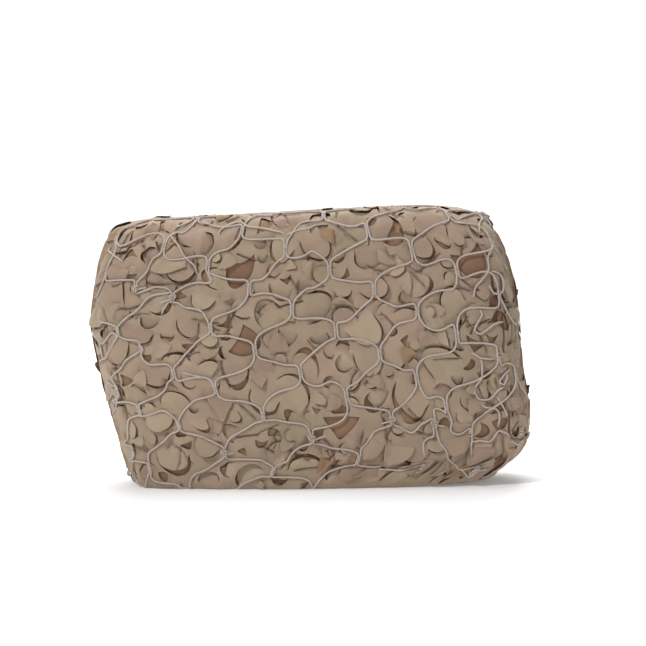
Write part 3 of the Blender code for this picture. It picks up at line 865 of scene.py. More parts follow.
def hinge_cut(tongue, outline, fine):
    """The cut that frees a brown leaf from its hinge: back to the outline's start, drawn in at its middle."""
    count = max(int(tongue.width / fine), 3) + 1
    line = np.linspace(outline[-1], outline[0], count)[1:-1]
    drawn_in = np.sin(np.linspace(0.0, math.pi, count)[1:-1]) * tongue.hollow * tongue.length
    return line + drawn_in[:, None] * tongue.ahead


def filling(room, spacing, gap, taken, generator):
    """Points all over a sheet in uneven rows, at least a gap from those that are taken."""
    low_u, high_u, low_v, high_v = room
    tree = tree_of(taken)
    for number, v in enumerate(np.arange(low_v + spacing, high_v - spacing / 2, spacing * 0.866)):
        shift = spacing / 2 * (number % 2)
        us = np.arange(low_u + spacing / 2 + shift, high_u - spacing / 3, spacing)
        jitter = generator.uniform(-0.18, 0.18, (len(us), 2)) * spacing
        for (du, dv), u in zip(jitter, us):
            if tree.find((u + du, v + dv, 0.0))[2] > gap:
                yield u + du, v + dv


def open_cuts(tongues, cuts, flat, triangles, fine):
    """Doubles the points of each cut, so that its tongue comes free, and notes what belongs to which."""
    centres = flat[triangles].mean(axis=1)
    owner = np.full(len(flat), -1)
    face_owner = np.full(len(triangles), -1)
    for number, (tongue, cut) in enumerate(zip(tongues, cuts)):
        outline = flat[cut] if tongue.how == "brown" else tongue.outline(fine)
        close = np.nonzero(np.abs(centres - tongue.hinge).max(axis=1) < tongue.length + tongue.width)[0]
        within = close[inside(centres[close], outline)]
        face_owner[within] = number
        doubled = {index: len(flat) + place for place, index in enumerate(cut)}
        flat = np.vstack([flat, flat[cut]])
        owner = np.concatenate([owner, np.full(len(cut), number)])
        for face in within:
            for corner in range(3):
                index = triangles[face, corner]
                if index in doubled:
                    triangles[face, corner] = doubled[index]
                else:
                    owner[index] = number
    return flat, triangles, owner, face_owner


def triangulate(room, fitted, spacing, fine, extra, generator):
    """A flat mesh of a sheet with its cuts open: points, triangles, and the tongue of each, -1 for none."""
    points, edges, cuts = border_of(room, spacing), [], []
    for tongue in fitted.tongues:
        outline = tongue.outline(fine)
        brown = tongue.how == "brown"
        closing = hinge_cut(tongue, outline, fine) if brown else []
        chain = list(range(len(points), len(points) + len(outline) + len(closing)))
        points += [tuple(p) for p in (*outline, *closing)]
        edges += list(zip(chain, chain[1:] + chain[:1] if brown else chain[1:]))
        cuts.append(chain if brown else chain[1:-1])
    points += [tuple(p) for p in extra]
    points += list(filling(room, spacing, 0.62 * (fine + spacing) / 2, points, generator))
    flat, _, faces, origins, _, _ = geometry.delaunay_2d_cdt([Vector(p) for p in points], edges, [], 0, 1e-7)
    where = {source: index for index, sources in enumerate(origins) for source in sources}
    cuts = [[where[source] for source in cut] for cut in cuts]
    return open_cuts(fitted.tongues, cuts, np.array([tuple(p) for p in flat]), np.array(faces), fine)


def bend_tongues(fitted, flat, owner):
    """Where each point of a cut sheet comes to lie on the map, its lift, and the tone of its tongue."""
    laid = flat.copy()
    lift = np.zeros(len(flat))
    tone = np.zeros(len(flat))
    for number, tongue in enumerate(fitted.tongues):
        mine = owner == number
        laid[mine], lift[mine] = tongue.bent(flat[mine])
        tone[mine] = tongue.tone
    rims = [(spot, tongue.around) for tongue in fitted.tongues for spot in tongue.outline(0.003)]
    around = tree_of([spot for spot, _ in rims])
    for index in np.nonzero(owner < 0)[0]:
        _, nearest, gap = around.find((*flat[index], 0.0))
        if gap < AROUND_REACH:
            lift[index] += rims[nearest][1] * (1 - ramp(gap, 0.0, AROUND_REACH))
    return laid, lift, tone


# ---- How the outer ply lies ------------------------------------------
OTHER_SLITS = 110
END_SLITS = 46
SLIT_STEP = 0.0015
SLIT_REACH = 0.04  # over half the length of any slit


def cloth_rise(spots, near_cord):
    """How far the outer ply stands off the plain face: pressed down at cords and puffed out between them."""
    u, v = spots.T
    puff = ramp(near_cord, 0.0022, 0.017)
    big = 0.0016 + 0.0014 * lumps(u, v, 0.045, 3) + 0.0007 * lumps(u, v, 0.017, 4)
    wrinkle = np.exp(-((lumps(u, v, 0.031, 7) / 0.16) ** 2)) * ramp(lumps(u, v, 0.06, 8), -0.1, 0.5)
    return 0.0007 + puff * (big + 0.0008 * wrinkle) + 0.00015 * lumps(u, v, 0.007, 5)


def slit_lines():
    """Each sunk fold of the outer ply, as points on the map with its width and depth."""
    for pixels, width, depth in SEEN_SLITS:
        yield spline(on_map(pixels), SLIT_STEP), width, depth
    generator = np.random.default_rng(61)
    for number in range(OTHER_SLITS + END_SLITS):
        at_end = number >= OTHER_SLITS
        v = generator.uniform(V_FIRST + 0.03, V_LAST - 0.03)
        if at_end:
            u = generator.uniform(-0.01, 0.038)
            u = u if number % 2 else LENGTH - u
            heading = math.pi / 2 + generator.normal(0.0, 0.25)
        else:
            u = generator.uniform(0.03, LENGTH - 0.03)
            heading = generator.uniform(0.0, math.pi)
        length = generator.uniform(0.014, 0.045 if at_end else 0.030)
        turns = heading + generator.normal(0.0, 0.5) * np.linspace(-0.5, 0.5, 5)
        way = np.cumsum(np.stack([np.cos(turns), np.sin(turns)], axis=1) * length / 4, axis=0)
        line = spline(way - way.mean(axis=0) + (u, v), SLIT_STEP)
        yield line, generator.uniform(0.0009, 0.0016), generator.uniform(0.003, 0.0065)


def slit_dip(spots, lines):
    """How far the slits sink the cloth at each spot."""
    dip = np.zeros(len(spots))
    for line, width, depth in lines:
        near = np.nonzero(np.abs(spots - line.mean(axis=0)).max(axis=1) < SLIT_REACH)[0]
        if len(near):
            gaps = np.linalg.norm(spots[near, None] - line[None], axis=2).min(axis=1)
            dip[near] += depth * np.exp(-((gaps / width) ** 2))
    return dip


def slit_points(lines):
    """Extra points beside the slits, so that the mesh can follow them."""
    extra = []
    for line, width, _ in lines:
        aside = beside(unit(np.gradient(line, axis=0)))
        extra += [line + aside * width * part for part in (-2.2, -1.1, 0.0, 1.1, 2.2)]
    return np.vstack(extra)


# ---- Meshes ----------------------------------------------------------
CLOTH_THICKNESS = 0.00028


def mesh_of(name, vertices, triangles, slots, finishes, uv, values=None, sharp=40.0):
    """An object from plain arrays: slots is the material of each triangle, values what each point keeps."""
    mesh = bpy.data.meshes.new(name)
    mesh.vertices.add(len(vertices))
    mesh.vertices.foreach_set("co", np.asarray(vertices, np.float32).ravel())
    mesh.loops.add(len(triangles) * 3)
    mesh.loops.foreach_set("vertex_index", np.asarray(triangles, np.int32).ravel())
    mesh.polygons.add(len(triangles))
    mesh.polygons.foreach_set("loop_start", np.arange(0, len(triangles) * 3, 3, dtype=np.int32))
    mesh.polygons.foreach_set("material_index", np.asarray(slots, np.int32))
    mesh.polygons.foreach_set("use_smooth", np.ones(len(triangles), bool))
    mesh.update(calc_edges=True)
    layer = mesh.uv_layers.new(name="UVMap")
    layer.uv.foreach_set("vector", np.asarray(uv, np.float32)[np.ravel(triangles)].ravel())
    for key, numbers in (values or {}).items():
        mesh.attributes.new(key, "FLOAT", "POINT").data.foreach_set("value", np.asarray(numbers, np.float32))
    for finish in finishes:
        mesh.materials.append(finish)
    mesh.validate()
    mesh.set_sharp_from_angle(angle=math.radians(sharp))
    made = bpy.data.objects.new(name, mesh)
    bpy.context.collection.objects.link(made)
    return made


def point_normals(points, triangles):
    """The direction out at each point of a mesh."""
    a, b, c = (points[triangles[:, corner]] for corner in range(3))
    faces = np.cross(b - a, c - a)
    out = np.zeros_like(points)
    for corner in range(3):
        np.add.at(out, triangles[:, corner], faces)
    return unit(out)


def open_edges(triangles):
    """The edges that only one triangle has, in that triangle's direction."""
    edges = np.vstack([triangles[:, [0, 1]], triangles[:, [1, 2]], triangles[:, [2, 0]]])
    keys = np.sort(edges, axis=1)
    order = keys[:, 0].astype(np.int64) * (triangles.max() + 1) + keys[:, 1]
    _, first, counts = np.unique(order, return_index=True, return_counts=True)
    return edges[first[counts == 1]]


def thick_cloth(name, points, triangles, flat, tone, turned, keep):
    """A sheet with its real thickness.

    turned marks the triangles that have their brown face out, and keep those that this piece consists of.
    """
    # rim is 1 at points on open edges, where the cloth finish paints a highlight
    rim = np.zeros(len(points))
    rim[open_edges(triangles).ravel()] = 1.0
    part = triangles[keep]
    used, index = np.unique(part, return_inverse=True)
    place = np.full(len(points), -1)
    place[used] = np.arange(len(used))
    a, b = place[open_edges(part)].T
    part = index.reshape(part.shape)
    count = len(used)
    out = point_normals(points, triangles)[used] * (CLOTH_THICKNESS / 2)
    both = np.vstack([points[used] + out, points[used] - out])
    both[:, 2] = np.maximum(both[:, 2], FLOOR_CLEAR / 2)
    sides = np.vstack([np.stack([b, a, a + count], axis=1), np.stack([b, a + count, b + count], axis=1)])
    swapped = turned[keep].astype(int)
    slots = np.concatenate([swapped, 1 - swapped, np.full(len(sides), 2)])
    values = {"rim": np.tile(rim[used], 2), "tone": np.tile(tone[used], 2)}
    faces = np.vstack([part, part[:, ::-1] + count, sides])
    return mesh_of(name, both, faces, slots, CLOTH_FINISHES, np.tile(flat[used], (2, 1)), values)


# ---- Finishes --------------------------------------------------------
TAN = (0.362, 0.272, 0.194, 1.0)
BROWN = (0.270, 0.165, 0.098, 1.0)
RIM_HIGHLIGHT = (0.60, 0.52, 0.40, 1.0)  # painted highlight on the cloth close to a cut, where the cut edge catches light
RIM_COLOURS = (0.20, 0.15, 0.10, 1.0), (0.34, 0.26, 0.18, 1.0)  # the cut edge itself
CORD_COLOURS = (0.80, 0.69, 0.62, 1.0), (0.66, 0.54, 0.45, 1.0)
# painted shade in the grooves between the cord's stitches
CORD_GROOVE_SHADE = (0.20, 0.15, 0.12, 1.0)
# painted shade: the plies further in get colours far darker than the cloth's own, as they only show in shade
CORE_SHADE_COLOURS = (0.13, 0.092, 0.062, 1.0), (0.22, 0.155, 0.10, 1.0)
YELLOWER = (0.98, 1.01, 0.97)
ROSIER = (1.05, 0.97, 1.01)
RIPSTOP = 0.0055  # from one of the heavier threads to the next
RIPSTOP_TURN = 0.62  # how far the weave is turned from the bundle's length
WEAVE = 0.0007
STITCH = 0.0021  # the length of a stitch along the cord


class Finish:
    """A material, put together node by node. x and y are metres on the sheet or along and round a cord."""

    def __init__(self, name, roughness, sheen, turn=0.0):
        self.made = bpy.data.materials.new(name)
        self.made.use_nodes = True
        self.nodes = self.made.node_tree.nodes
        self.links = self.made.node_tree.links
        self.shader = self.nodes["Principled BSDF"]
        self.feed(self.shader, {"Roughness": roughness, "Sheen Weight": sheen})
        self.feed(self.shader, {"Sheen Roughness": 0.5, "Specular IOR Level": 0.25})
        mapping = self.node("ShaderNodeMapping")
        marks = self.node("ShaderNodeUVMap", uv_map="UVMap")
        self.feed(mapping, {"Vector": marks.outputs[0], "Rotation": (0.0, 0.0, turn)})
        split = self.node("ShaderNodeSeparateXYZ")
        self.where = mapping.outputs[0]
        self.feed(split, {0: self.where})
        self.x, self.y = split.outputs[:2]

    def node(self, kind, **settings):
        """Adds a node with its settings."""
        node = self.nodes.new(kind)
        for key, value in settings.items():
            setattr(node, key, value)
        return node

    def feed(self, node, sockets):
        """Links each socket to another node's output, or sets it."""
        for socket, value in sockets.items():
            if hasattr(value, "is_output"):
                self.links.new(value, node.inputs[socket])
            else:
                node.inputs[socket].default_value = value

    def math(self, operation, *values):
        """One step of arithmetic."""
        node = self.node("ShaderNodeMath", operation=operation)
        self.feed(node, dict(enumerate(values)))
        return node.outputs[0]

    def away(self, value, pitch):
        """How far a value is from the middle between two steps of a pitch, as a part of the pitch."""
        phase = self.math("FRACT", self.math("DIVIDE", value, pitch))
        return self.math("ABSOLUTE", self.math("SUBTRACT", phase, 0.5))

    def mix(self, share, first, second):
        """A mix of two colours."""
        node = self.node("ShaderNodeMix", data_type="RGBA")
        self.feed(node, {0: share, 6: first, 7: second})
        return node.outputs[2]

    def band(self, value, low, high):
        """0 below low and 1 above high."""
        node = self.node("ShaderNodeMapRange", interpolation_type="SMOOTHSTEP")
        self.feed(node, {0: value, 1: low, 2: high})
        return node.outputs[0]

    def noise(self, scale, detail=2.0):
        """Noise from 0 to 1."""
        node = self.node("ShaderNodeTexNoise")
        self.feed(node, {"Vector": self.where, "Scale": scale, "Detail": detail})
        return node.outputs[0]

    def kept(self, name):
        """The numbers that the mesh keeps under a name."""
        return self.node("ShaderNodeAttribute", attribute_name=name).outputs["Fac"]

    def bump(self, height, distance, strength, below=None):
        """A bump of a height in metres times distance."""
        node = self.node("ShaderNodeBump")
        self.feed(node, {"Height": height, "Distance": distance, "Strength": strength})
        if below is not None:
            self.feed(node, {"Normal": below})
        return node.outputs[0]

    def done(self, colour, normal=None):
        """Gives the material its colour and its bumps."""
        self.feed(self.shader, {"Base Color": colour})
        if normal is not None:
            self.feed(self.shader, {"Normal": normal})
        return self.made


def cloth_finish(name, colour, tone_reach):
    """Thin ripstop cloth: a fine weave, a square grid of heavier threads, blotches and a painted highlight
    along the cuts.
    """
    finish = Finish(name, 0.82, 0.25, RIPSTOP_TURN)
    threads = [finish.band(finish.away(axis, RIPSTOP), 0.44, 0.49) for axis in (finish.x, finish.y)]
    grid = finish.math("MAXIMUM", *threads)
    phases = [finish.math("MULTIPLY", axis, 2 * math.pi / WEAVE) for axis in (finish.x, finish.y)]
    weave = finish.math("MULTIPLY", *(finish.math("SINE", phase) for phase in phases))
    broad = finish.noise(9.0)
    tone = finish.kept("tone")
    shade = finish.math("MULTIPLY_ADD", finish.noise(38.0, 4.0), 0.22, 0.89)
    shade = finish.math("MULTIPLY_ADD", broad, 0.24, finish.math("SUBTRACT", shade, 0.12))
    shade = finish.math("MULTIPLY_ADD", tone, tone_reach, shade)
    shade = finish.math("MULTIPLY_ADD", grid, -0.035, shade)
    shade = finish.math("MULTIPLY_ADD", finish.noise(900.0, 1.0), 0.10, finish.math("SUBTRACT", shade, 0.05))
    share = finish.band(finish.math("MULTIPLY_ADD", tone, -0.30, broad), 0.25, 0.85)
    yellow, rosy = ((*np.multiply(colour[:3], change), 1.0) for change in (YELLOWER, ROSIER))
    dyed = finish.node("ShaderNodeHueSaturation")
    finish.feed(dyed, {"Color": finish.mix(share, yellow, rosy), "Value": shade})
    # painted highlight: the cloth beside a cut edge is mixed towards a paler colour
    edge = finish.math("MULTIPLY", finish.band(finish.kept("rim"), 0.78, 0.97), 0.14)
    ribbed = finish.bump(grid, 0.00012, 0.6, finish.bump(weave, 0.00004, 0.5))
    crumple = finish.bump(finish.noise(160.0, 3.0), 0.0006, 0.35, ribbed)
    return finish.done(finish.mix(edge, dyed.outputs[0], RIM_HIGHLIGHT), crumple)


def rim_finish():
    """The cut edge of the cloth."""
    finish = Finish("garnish_rim", 0.9, 0.0)
    return finish.done(finish.mix(finish.band(finish.noise(700.0), 0.3, 0.7), *RIM_COLOURS))


def core_finish():
    """The plies further in, which only show as shade."""
    finish = Finish("garnish_deep_shade", 1.0, 0.0)
    return finish.done(finish.mix(finish.noise(60.0), *CORE_SHADE_COLOURS))


def cord_finish():
    """Knitted cord: rows of small V stitches with painted shade in the grooves between them, a little fluff
    and uneven colour.
    """
    finish = Finish("cord_knit", 0.88, 0.15)
    side = finish.away(finish.y, 0.5)
    slant = finish.math("ADD", finish.math("DIVIDE", finish.x, STITCH), finish.math("MULTIPLY", side, 1.1))
    ridge = finish.band(finish.away(slant, 1.0), 0.06, 0.36)
    height = finish.math("MULTIPLY", ridge, finish.band(side, 0.05, 0.16))
    pale = finish.mix(finish.math("MULTIPLY", finish.noise(60.0, 3.0), 0.4), *CORD_COLOURS)
    # painted shade: the cord is mixed towards a dark colour where the stitch ridges dip
    groove_shade = finish.math("MULTIPLY_ADD", height, -0.45, 0.45)
    fluff = finish.bump(finish.noise(900.0), 0.0004, 0.3)
    return finish.done(finish.mix(groove_shade, pale, CORD_GROOVE_SHADE), finish.bump(height, 0.0009, 0.8, fluff))


TAN_FACE = cloth_finish("garnish_tan_face", TAN, 0.14)
BROWN_FACE = cloth_finish("garnish_brown_face", BROWN, 0.16)
CLOTH_FINISHES = (TAN_FACE, BROWN_FACE, rim_finish())
CORD_FACE = cord_finish()
CORE_FACE = core_finish()

# ---- The outer ply ---------------------------------------------------
FRONT_REACH = 0.03  # how far past the middle of the top its front piece goes
DEEPEST = -0.0034  # how far a fold of the outer ply may sink
END_SINK = 0.0050  # how much lower it lies by its edge, in over the ends
TOP_PRESS = 0.6  # how much flatter the tongues lie on top of the bundle
TOP_FADE = 0.04, 0.09  # from where to where from the middle of the top that fades out
PRESSED_LIFT = 0.0010  # what is left of a tongue's lift under a cord
OVER_END = 0.034  # how much of the ply past each end turns in over it
OUTER_ROOM = (-OVER_END, LENGTH + OVER_END, V_FIRST, V_LAST)
OUTER_SPACING, OUTER_FINE = 0.0040, 0.0021
EDGE_MARGINS = (0.003, -0.003, 0.004, -0.004)  # the least cloth between a cut and the ply's edge
TONGUE_SIZES = (0.038, 0.033, 0.029, 0.025, 0.021, 0.017, 0.013)
OUTER_DARTS = 9000  # places that are tried for more tongues


def outer_tongues():
    """The tongues of the outer ply: those that show in the photograph, then others where there is room."""
    generator = np.random.default_rng(29)
    fitted = Fitted(tuple(np.add(OUTER_ROOM, EDGE_MARGINS)))
    for x, y, degrees, width, length, how in SEEN_TONGUES:
        size = width * PIXEL, length * PIXEL
        place = on_map([(x, y)])[0]
        fitted.add(Tongue(*place, math.radians(degrees), *size, how, generator), SEEN_MARGIN)
    fill(fitted, OUTER_DARTS, TONGUE_SIZES, generator, OTHER_WAYS, -math.pi / 2)
    return fitted


def outer_lift(lift, v, owner, near_cord):
    """The lift of the outer ply, less on top of the bundle and pressed down at the cords."""
    near, far = TOP_FADE
    on_top = ramp(v, V_TOP - far, V_TOP - near) * (1 - ramp(v, V_TOP + near, V_TOP + far))
    lift = np.where(lift > 0, lift * (1 - TOP_PRESS * on_top), lift)
    free = lift * ramp(near_cord, 0.0014, 0.0050)
    pressed = np.where(owner >= 0, np.maximum(free, np.minimum(lift, PRESSED_LIFT)), free)
    return np.where(lift > 0, pressed, lift)


def outer_ply():
    """The ply round the outside of the bundle in two pieces, the leaves with it, and how its points lie."""
    generator = np.random.default_rng(5)
    fitted = outer_tongues()
    lines = list(slit_lines())
    flat, triangles, owner, face_owner = triangulate(
        OUTER_ROOM, fitted, OUTER_SPACING, OUTER_FINE, slit_points(lines), generator
    )
    laid, lift, tone = bend_tongues(fitted, flat, owner)
    near_cord = to_cord(laid)
    rise = cloth_rise(laid, near_cord) + outer_lift(lift, laid[:, 1], owner, near_cord)
    rise = rise - slit_dip(laid, lines)
    past = np.maximum(-laid[:, 0], laid[:, 0] - LENGTH)
    rise = np.maximum(rise, DEEPEST) - END_SINK * ramp(past, 0.004, OVER_END)
    points, _ = skin(*laid.T, rise)
    brown = np.array([tongue.how == "brown" for tongue in fitted.tongues] + [False])[face_owner]
    front = flat[triangles].mean(axis=1)[:, 1] < V_TOP + FRONT_REACH
    turned = np.zeros(len(triangles), bool)
    pieces = [
        thick_cloth(f"garnish_outer_{name}", points, triangles, flat, tone, turned, side & ~brown)
        for name, side in (("front", front), ("back", ~front))
    ]
    islands = points, triangles[brown], flat, tone
    return *pieces, loose_leaves(fitted.tongues, laid, rise, owner, islands), (laid, rise)


# ---- Leaves ----------------------------------------------------------
# Loose leaves that show: the photograph's pixel at the root, direction in degrees, width and length in
# pixels, and whether the brown face is out.
SEEN_LEAVES = (
    # x, y, direction, width, length, brown
    (447, 482, 92, 22, 18, True),
    (365, 450, 215, 13, 20, True),
    (401, 440, 262, 29, 25, False),
    (454, 433, 282, 27, 24, False),
    (484, 442, 268, 25, 24, False),
    (376, 435, 245, 22, 25, False),
    (427, 481, 84, 11, 22, False),
    (462, 417, 272, 21, 17, False),
    (396, 478, 78, 22, 14, False),
    (472, 474, 96, 17, 16, False),
    (360, 480, 100, 24, 13, False),
    (425, 455, 275, 22, 20, False),
    (118, 229, 266, 24, 18, True),
    (172, 237, 262, 11, 16, True),
    (145, 240, 72, 14, 18, False),
    (158, 254, 318, 30, 32, False),
    (122, 262, 250, 26, 24, False),
    (497, 384, 258, 18, 18, False),
    (513, 392, 262, 17, 20, False),
    (492, 357, 285, 20, 18, False),
    (478, 395, 262, 16, 20, False),
)
LEAF_WAYS = ("shut", "open", "tip", "gone")  # the tongues past whose tips a leaf comes out
LEAF_WIDTHS, LEAF_LENGTHS = (0.013, 0.024), (0.015, 0.031)
LEAF_ROOT = 0.006  # how far back under the tip it starts
LEAF_ROOT_RISE = -0.0022
LEAF_GAP = 0.026  # the least distance between the middles of two leaves
LEAF_CLEAR = 0.0024  # and between a leaf and a cord
LEAF_UNDER_CORD = 0.0013  # how far a leaf may stand off the bundle where a cord crosses it
LEAF_OVER = 0.0006  # how far it lies over the cloth
LEAF_CURLS = (0.0012, 0.0005)  # how far its tip and its sides curl up
SEEN_OVER, SEEN_CURL = 0.0012, 1.6  # the same for one that shows, and how much more it curls
LEAF_ROWS, LEAF_COLUMNS = 13, 9
BROWN_TONE = 0.64  # leaves with a tone over this have their brown face out


def leaf_outline(width, length, generator):
    """The points of a leaf in rows from its root to its tip: sideways and ahead."""
    part = np.linspace(0.0, 1.0, LEAF_ROWS)[:, None]
    across = np.linspace(-1.0, 1.0, LEAF_COLUMNS)[None, :]
    blunt = generator.uniform(0.35, 0.75)
    half = width / 2 * (np.sin(math.pi * (0.22 + 0.78 * part)) ** blunt) + 0.0004
    bend = generator.uniform(-0.35, 0.35) * length
    return across * half + bend * part**2, length * part * (1 - 0.04 * across**2)


def leaf_places(tongues, generator):
    """Leaves to lay: root, direction, width, length, tone, and the tongue each comes out past, if any."""
    order = generator.permutation(len(tongues))
    for x, y, degrees, width, length, brown in SEEN_LEAVES:
        heading = math.radians(degrees)
        ahead = np.array([math.cos(heading), math.sin(heading)])
        tone = 0.9 if brown else generator.uniform(-1.0, 0.6)
        yield on_map([(x, y)])[0], ahead, width * PIXEL, length * PIXEL, tone, None
    for index in order:
        tongue = tongues[index]
        if tongue.how in LEAF_WAYS:
            root = tongue.hinge + tongue.ahead * (tongue.length - LEAF_ROOT)
            turn = generator.normal(0.0, 0.35)
            ahead = tongue.ahead * math.cos(turn) + tongue.aside * math.sin(turn)
            size = generator.uniform(*LEAF_WIDTHS), generator.uniform(*LEAF_LENGTHS)
            yield root, ahead, *size, generator.uniform(-1.0, 1.0), index


def leaf_fits(spots, free, placed):
    """Whether a leaf keeps off the bundle's ends and foot, off other leaves and, past its root, off cords."""
    (low_u, low_v), (high_u, high_v) = spots.min(axis=0), spots.max(axis=0)
    if low_u < -0.02 or high_u > LENGTH + 0.02 or low_v < 0.009 or high_v > V_BACK_FOOT - 0.01:
        return False
    return np.linalg.norm(placed - spots.mean(axis=0), axis=1).min() >= LEAF_GAP and free.min() >= LEAF_CLEAR


def cloth_under(spots, tree, rise, owner, own):
    """How high the cloth under a leaf reaches, its own tongue left out. A stiff leaf spans the dips."""
    heights = []
    for u, v in spots:
        near = [k for _, k, away in tree.find_n((u, v, 0.0), 14) if owner[k] != own and away < 0.006]
        heights.append(max((rise[k] for k in near[:6]), default=-0.0026))
    grid = np.reshape(heights, (LEAF_ROWS, LEAF_COLUMNS))
    for _ in range(3):
        wide = np.pad(grid, 1, mode="edge")
        grid = np.maximum(grid, (wide[:-2, 1:-1] + wide[2:, 1:-1] + wide[1:-1, :-2] + wide[1:-1, 2:]) / 4)
    return grid


def loose_leaves(tongues, laid, rise, owner, islands):
    """Leaves of the plies below: islands that lie under openings, and those that came out through cuts."""
    generator = np.random.default_rng(83)
    tree = tree_of(laid)
    vertices, triangles, flats, tones = ([part] for part in islands)
    placed = np.zeros((0, 2))
    for root, ahead, width, length, tone, own in leaf_places(tongues, generator):
        seen = own is None
        sideways, forward = leaf_outline(width, length, generator)
        spots = (root + sideways[..., None] * beside(ahead) + forward[..., None] * ahead).reshape(-1, 2)
        near_cord = to_cord(spots)
        if not seen and not leaf_fits(spots, near_cord[forward.ravel() > 0.004], placed):
            continue
        spots[:, 1] = np.maximum(spots[:, 1], 0.002)
        placed = np.vstack([placed, spots.mean(axis=0)])
        grid = cloth_under(spots, tree, rise, owner, own)
        curl = SEEN_CURL if seen else generator.uniform(0.0, SEEN_CURL)
        side = np.abs(sideways - sideways.mean(axis=1, keepdims=True)) / (width / 2)
        lifts = grid + (SEEN_OVER if seen else LEAF_OVER) + LEAF_CURLS[0] * curl * (forward / length) ** 2
        lifts = lifts + LEAF_CURLS[1] * curl * side**2
        out = ramp(forward, 0.002, 0.008)
        lifts = (lifts * out + LEAF_ROOT_RISE * (1 - out)).ravel()
        most = LEAF_UNDER_CORD + 0.006 * ramp(near_cord, 0.001, 0.007)
        triangles.append(sum(map(len, vertices)) + grid_triangles(LEAF_ROWS, LEAF_COLUMNS))
        vertices.append(skin(*spots.T, np.minimum(lifts, most))[0])
        flats.append(spots)
        tones.append(np.full(len(spots), tone))
    brown_faces = len(triangles[0])
    vertices, triangles, flats, tones = map(np.concatenate, (vertices, triangles, flats, tones))
    turned = tones[triangles[:, 0]] > BROWN_TONE
    turned[:brown_faces] = True
    every = np.full(len(triangles), True)
    return thick_cloth("garnish_leaves", vertices, triangles, flats, tones, turned, every)


# ---- The plies below -------------------------------------------------
UNDER_RISE = -0.0050  # the lowest that the ply below may lie
UNDER_GAP = 0.0017  # how far it stays below the outer ply
UNDER_REACH = 0.0045  # and below the lowest of it within this
UNDER_OVER_END = 0.020
UNDER_SPACING, UNDER_FINE = 0.0050, 0.0026
UNDER_SIZES = (0.036, 0.029, 0.023)
UNDER_DARTS = 1200
UNDER_LIFT = 0.25  # its tongues are pressed nearly flat
UNDER_TAN = 0.2  # its tongues with a tone over this have their tan face out
CORE_RISE = -0.0085
CORE_INSET = 0.010  # how far its ends lie inside the bundle's
CORE_FOOT = 0.006
CORE_RINGS, CORE_PLACES = 40, 90


def close_below(outer, spots):
    """How high the ply below may lie at spots of the map: just under the lowest of the outer ply there."""
    laid, rise = outer
    tree = tree_of(laid)
    heights = np.empty(len(spots))
    for index, (u, v) in enumerate(spots):
        near = [rise[found] for _, found, _ in tree.find_range((u, v, 0.0), UNDER_REACH)]
        heights[index] = min(near, default=UNDER_RISE)
    return np.clip(heights - UNDER_GAP, UNDER_RISE, 0.0)


def under_ply(outer):
    """The ply below, its brown face out, which shows through the cuts."""
    generator = np.random.default_rng(17)
    fitted = Fitted((0.004, LENGTH - 0.004, V_FIRST + 0.004, V_LAST - 0.004))
    fill(fitted, UNDER_DARTS, UNDER_SIZES, generator, ("shut", "shut", "under", "tip"))
    room = (-UNDER_OVER_END, LENGTH + UNDER_OVER_END, V_FIRST, V_LAST)
    flat, triangles, owner, face_owner = triangulate(
        room, fitted, UNDER_SPACING, UNDER_FINE, np.zeros((0, 2)), generator
    )
    laid, lift, tone = bend_tongues(fitted, flat, owner)
    rise = close_below(outer, laid) + np.clip(lift, -0.003, 0.003) * UNDER_LIFT
    points, _ = skin(*laid.T, rise)
    turned = np.array([tongue.tone < UNDER_TAN for tongue in fitted.tongues] + [True])[face_owner]
    every = np.full(len(triangles), True)
    return thick_cloth("garnish_under", points, triangles, flat, tone, turned, every)


def core():
    """The folded plies inside, as one closed mass."""
    u = np.linspace(CORE_INSET, LENGTH - CORE_INSET, CORE_RINGS)
    v = np.linspace(V_FIRST, V_LAST, CORE_PLACES)
    points, _ = skin(*(grid.ravel() for grid in np.meshgrid(u, v, indexing="ij")), CORE_RISE)
    points[:, 2] = np.maximum(points[:, 2], CORE_FOOT)
    triangles = []
    for first in range(0, (CORE_RINGS - 1) * CORE_PLACES, CORE_PLACES):
        for place in range(CORE_PLACES):
            a, b = first + place, first + (place + 1) % CORE_PLACES
            c, d = a + CORE_PLACES, b + CORE_PLACES
            triangles += [(a, c, d), (a, d, b)]
    for first, order in ((0, 1), ((CORE_RINGS - 1) * CORE_PLACES, -1)):
        middle = len(points)
        points = np.vstack([points, points[first : first + CORE_PLACES].mean(axis=0)])
        for place in range(CORE_PLACES):
            triangles.append((middle, first + place, first + (place + 1) % CORE_PLACES)[::order])
    uv = points[:, [0, 2]]
    return mesh_of("garnish_core", points, np.array(triangles), np.zeros(len(triangles)), (CORE_FACE,), uv)


# ---- Folds at the ends -----------------------------------------------
LIP_OFFSETS = (-0.0021, 0.0, 0.0021)  # plies of one folded layer, across it
LIP_RADIUS = 0.0009
LIP_REACH = 0.022
LIP_RUN = 4.6  # length of one ply's lip, up and down through all the folds
LIP_STEP = 0.0045
LIP_PROFILE = (
    # depth behind the lip's edge, part of its radius to the side
    (LIP_REACH, -1.0),
    (0.012, -1.0),
    (0.004, -1.0),
    (0.0008, -0.7),
    (0.0, 0.0),
    (0.0008, 0.7),
    (0.004, 1.0),
    (0.012, 1.0),
    (LIP_REACH, 1.0),
)
SCALLOP = 0.030  # the length of one round edge of a lip


def layer_y(number):
    """Middle of a layer: 0 is the wrapping turn at the back, then the inner layers, then the front."""
    return DEPTH / 2 - LAYER / 2 - number * PITCH


def ceiling(y):
    """The highest that an inner fold may reach at y, under the wrapping turn."""
    reach = TOP_RADIUS - LAYER / 2 - GAP
    beyond = max(abs(y) - (DEPTH / 2 - LAYER / 2 - TOP_RADIUS), 0.0)
    return HEIGHT - LAYER / 2 - TOP_RADIUS + math.sqrt(max(reach**2 - beyond**2, 0.0))


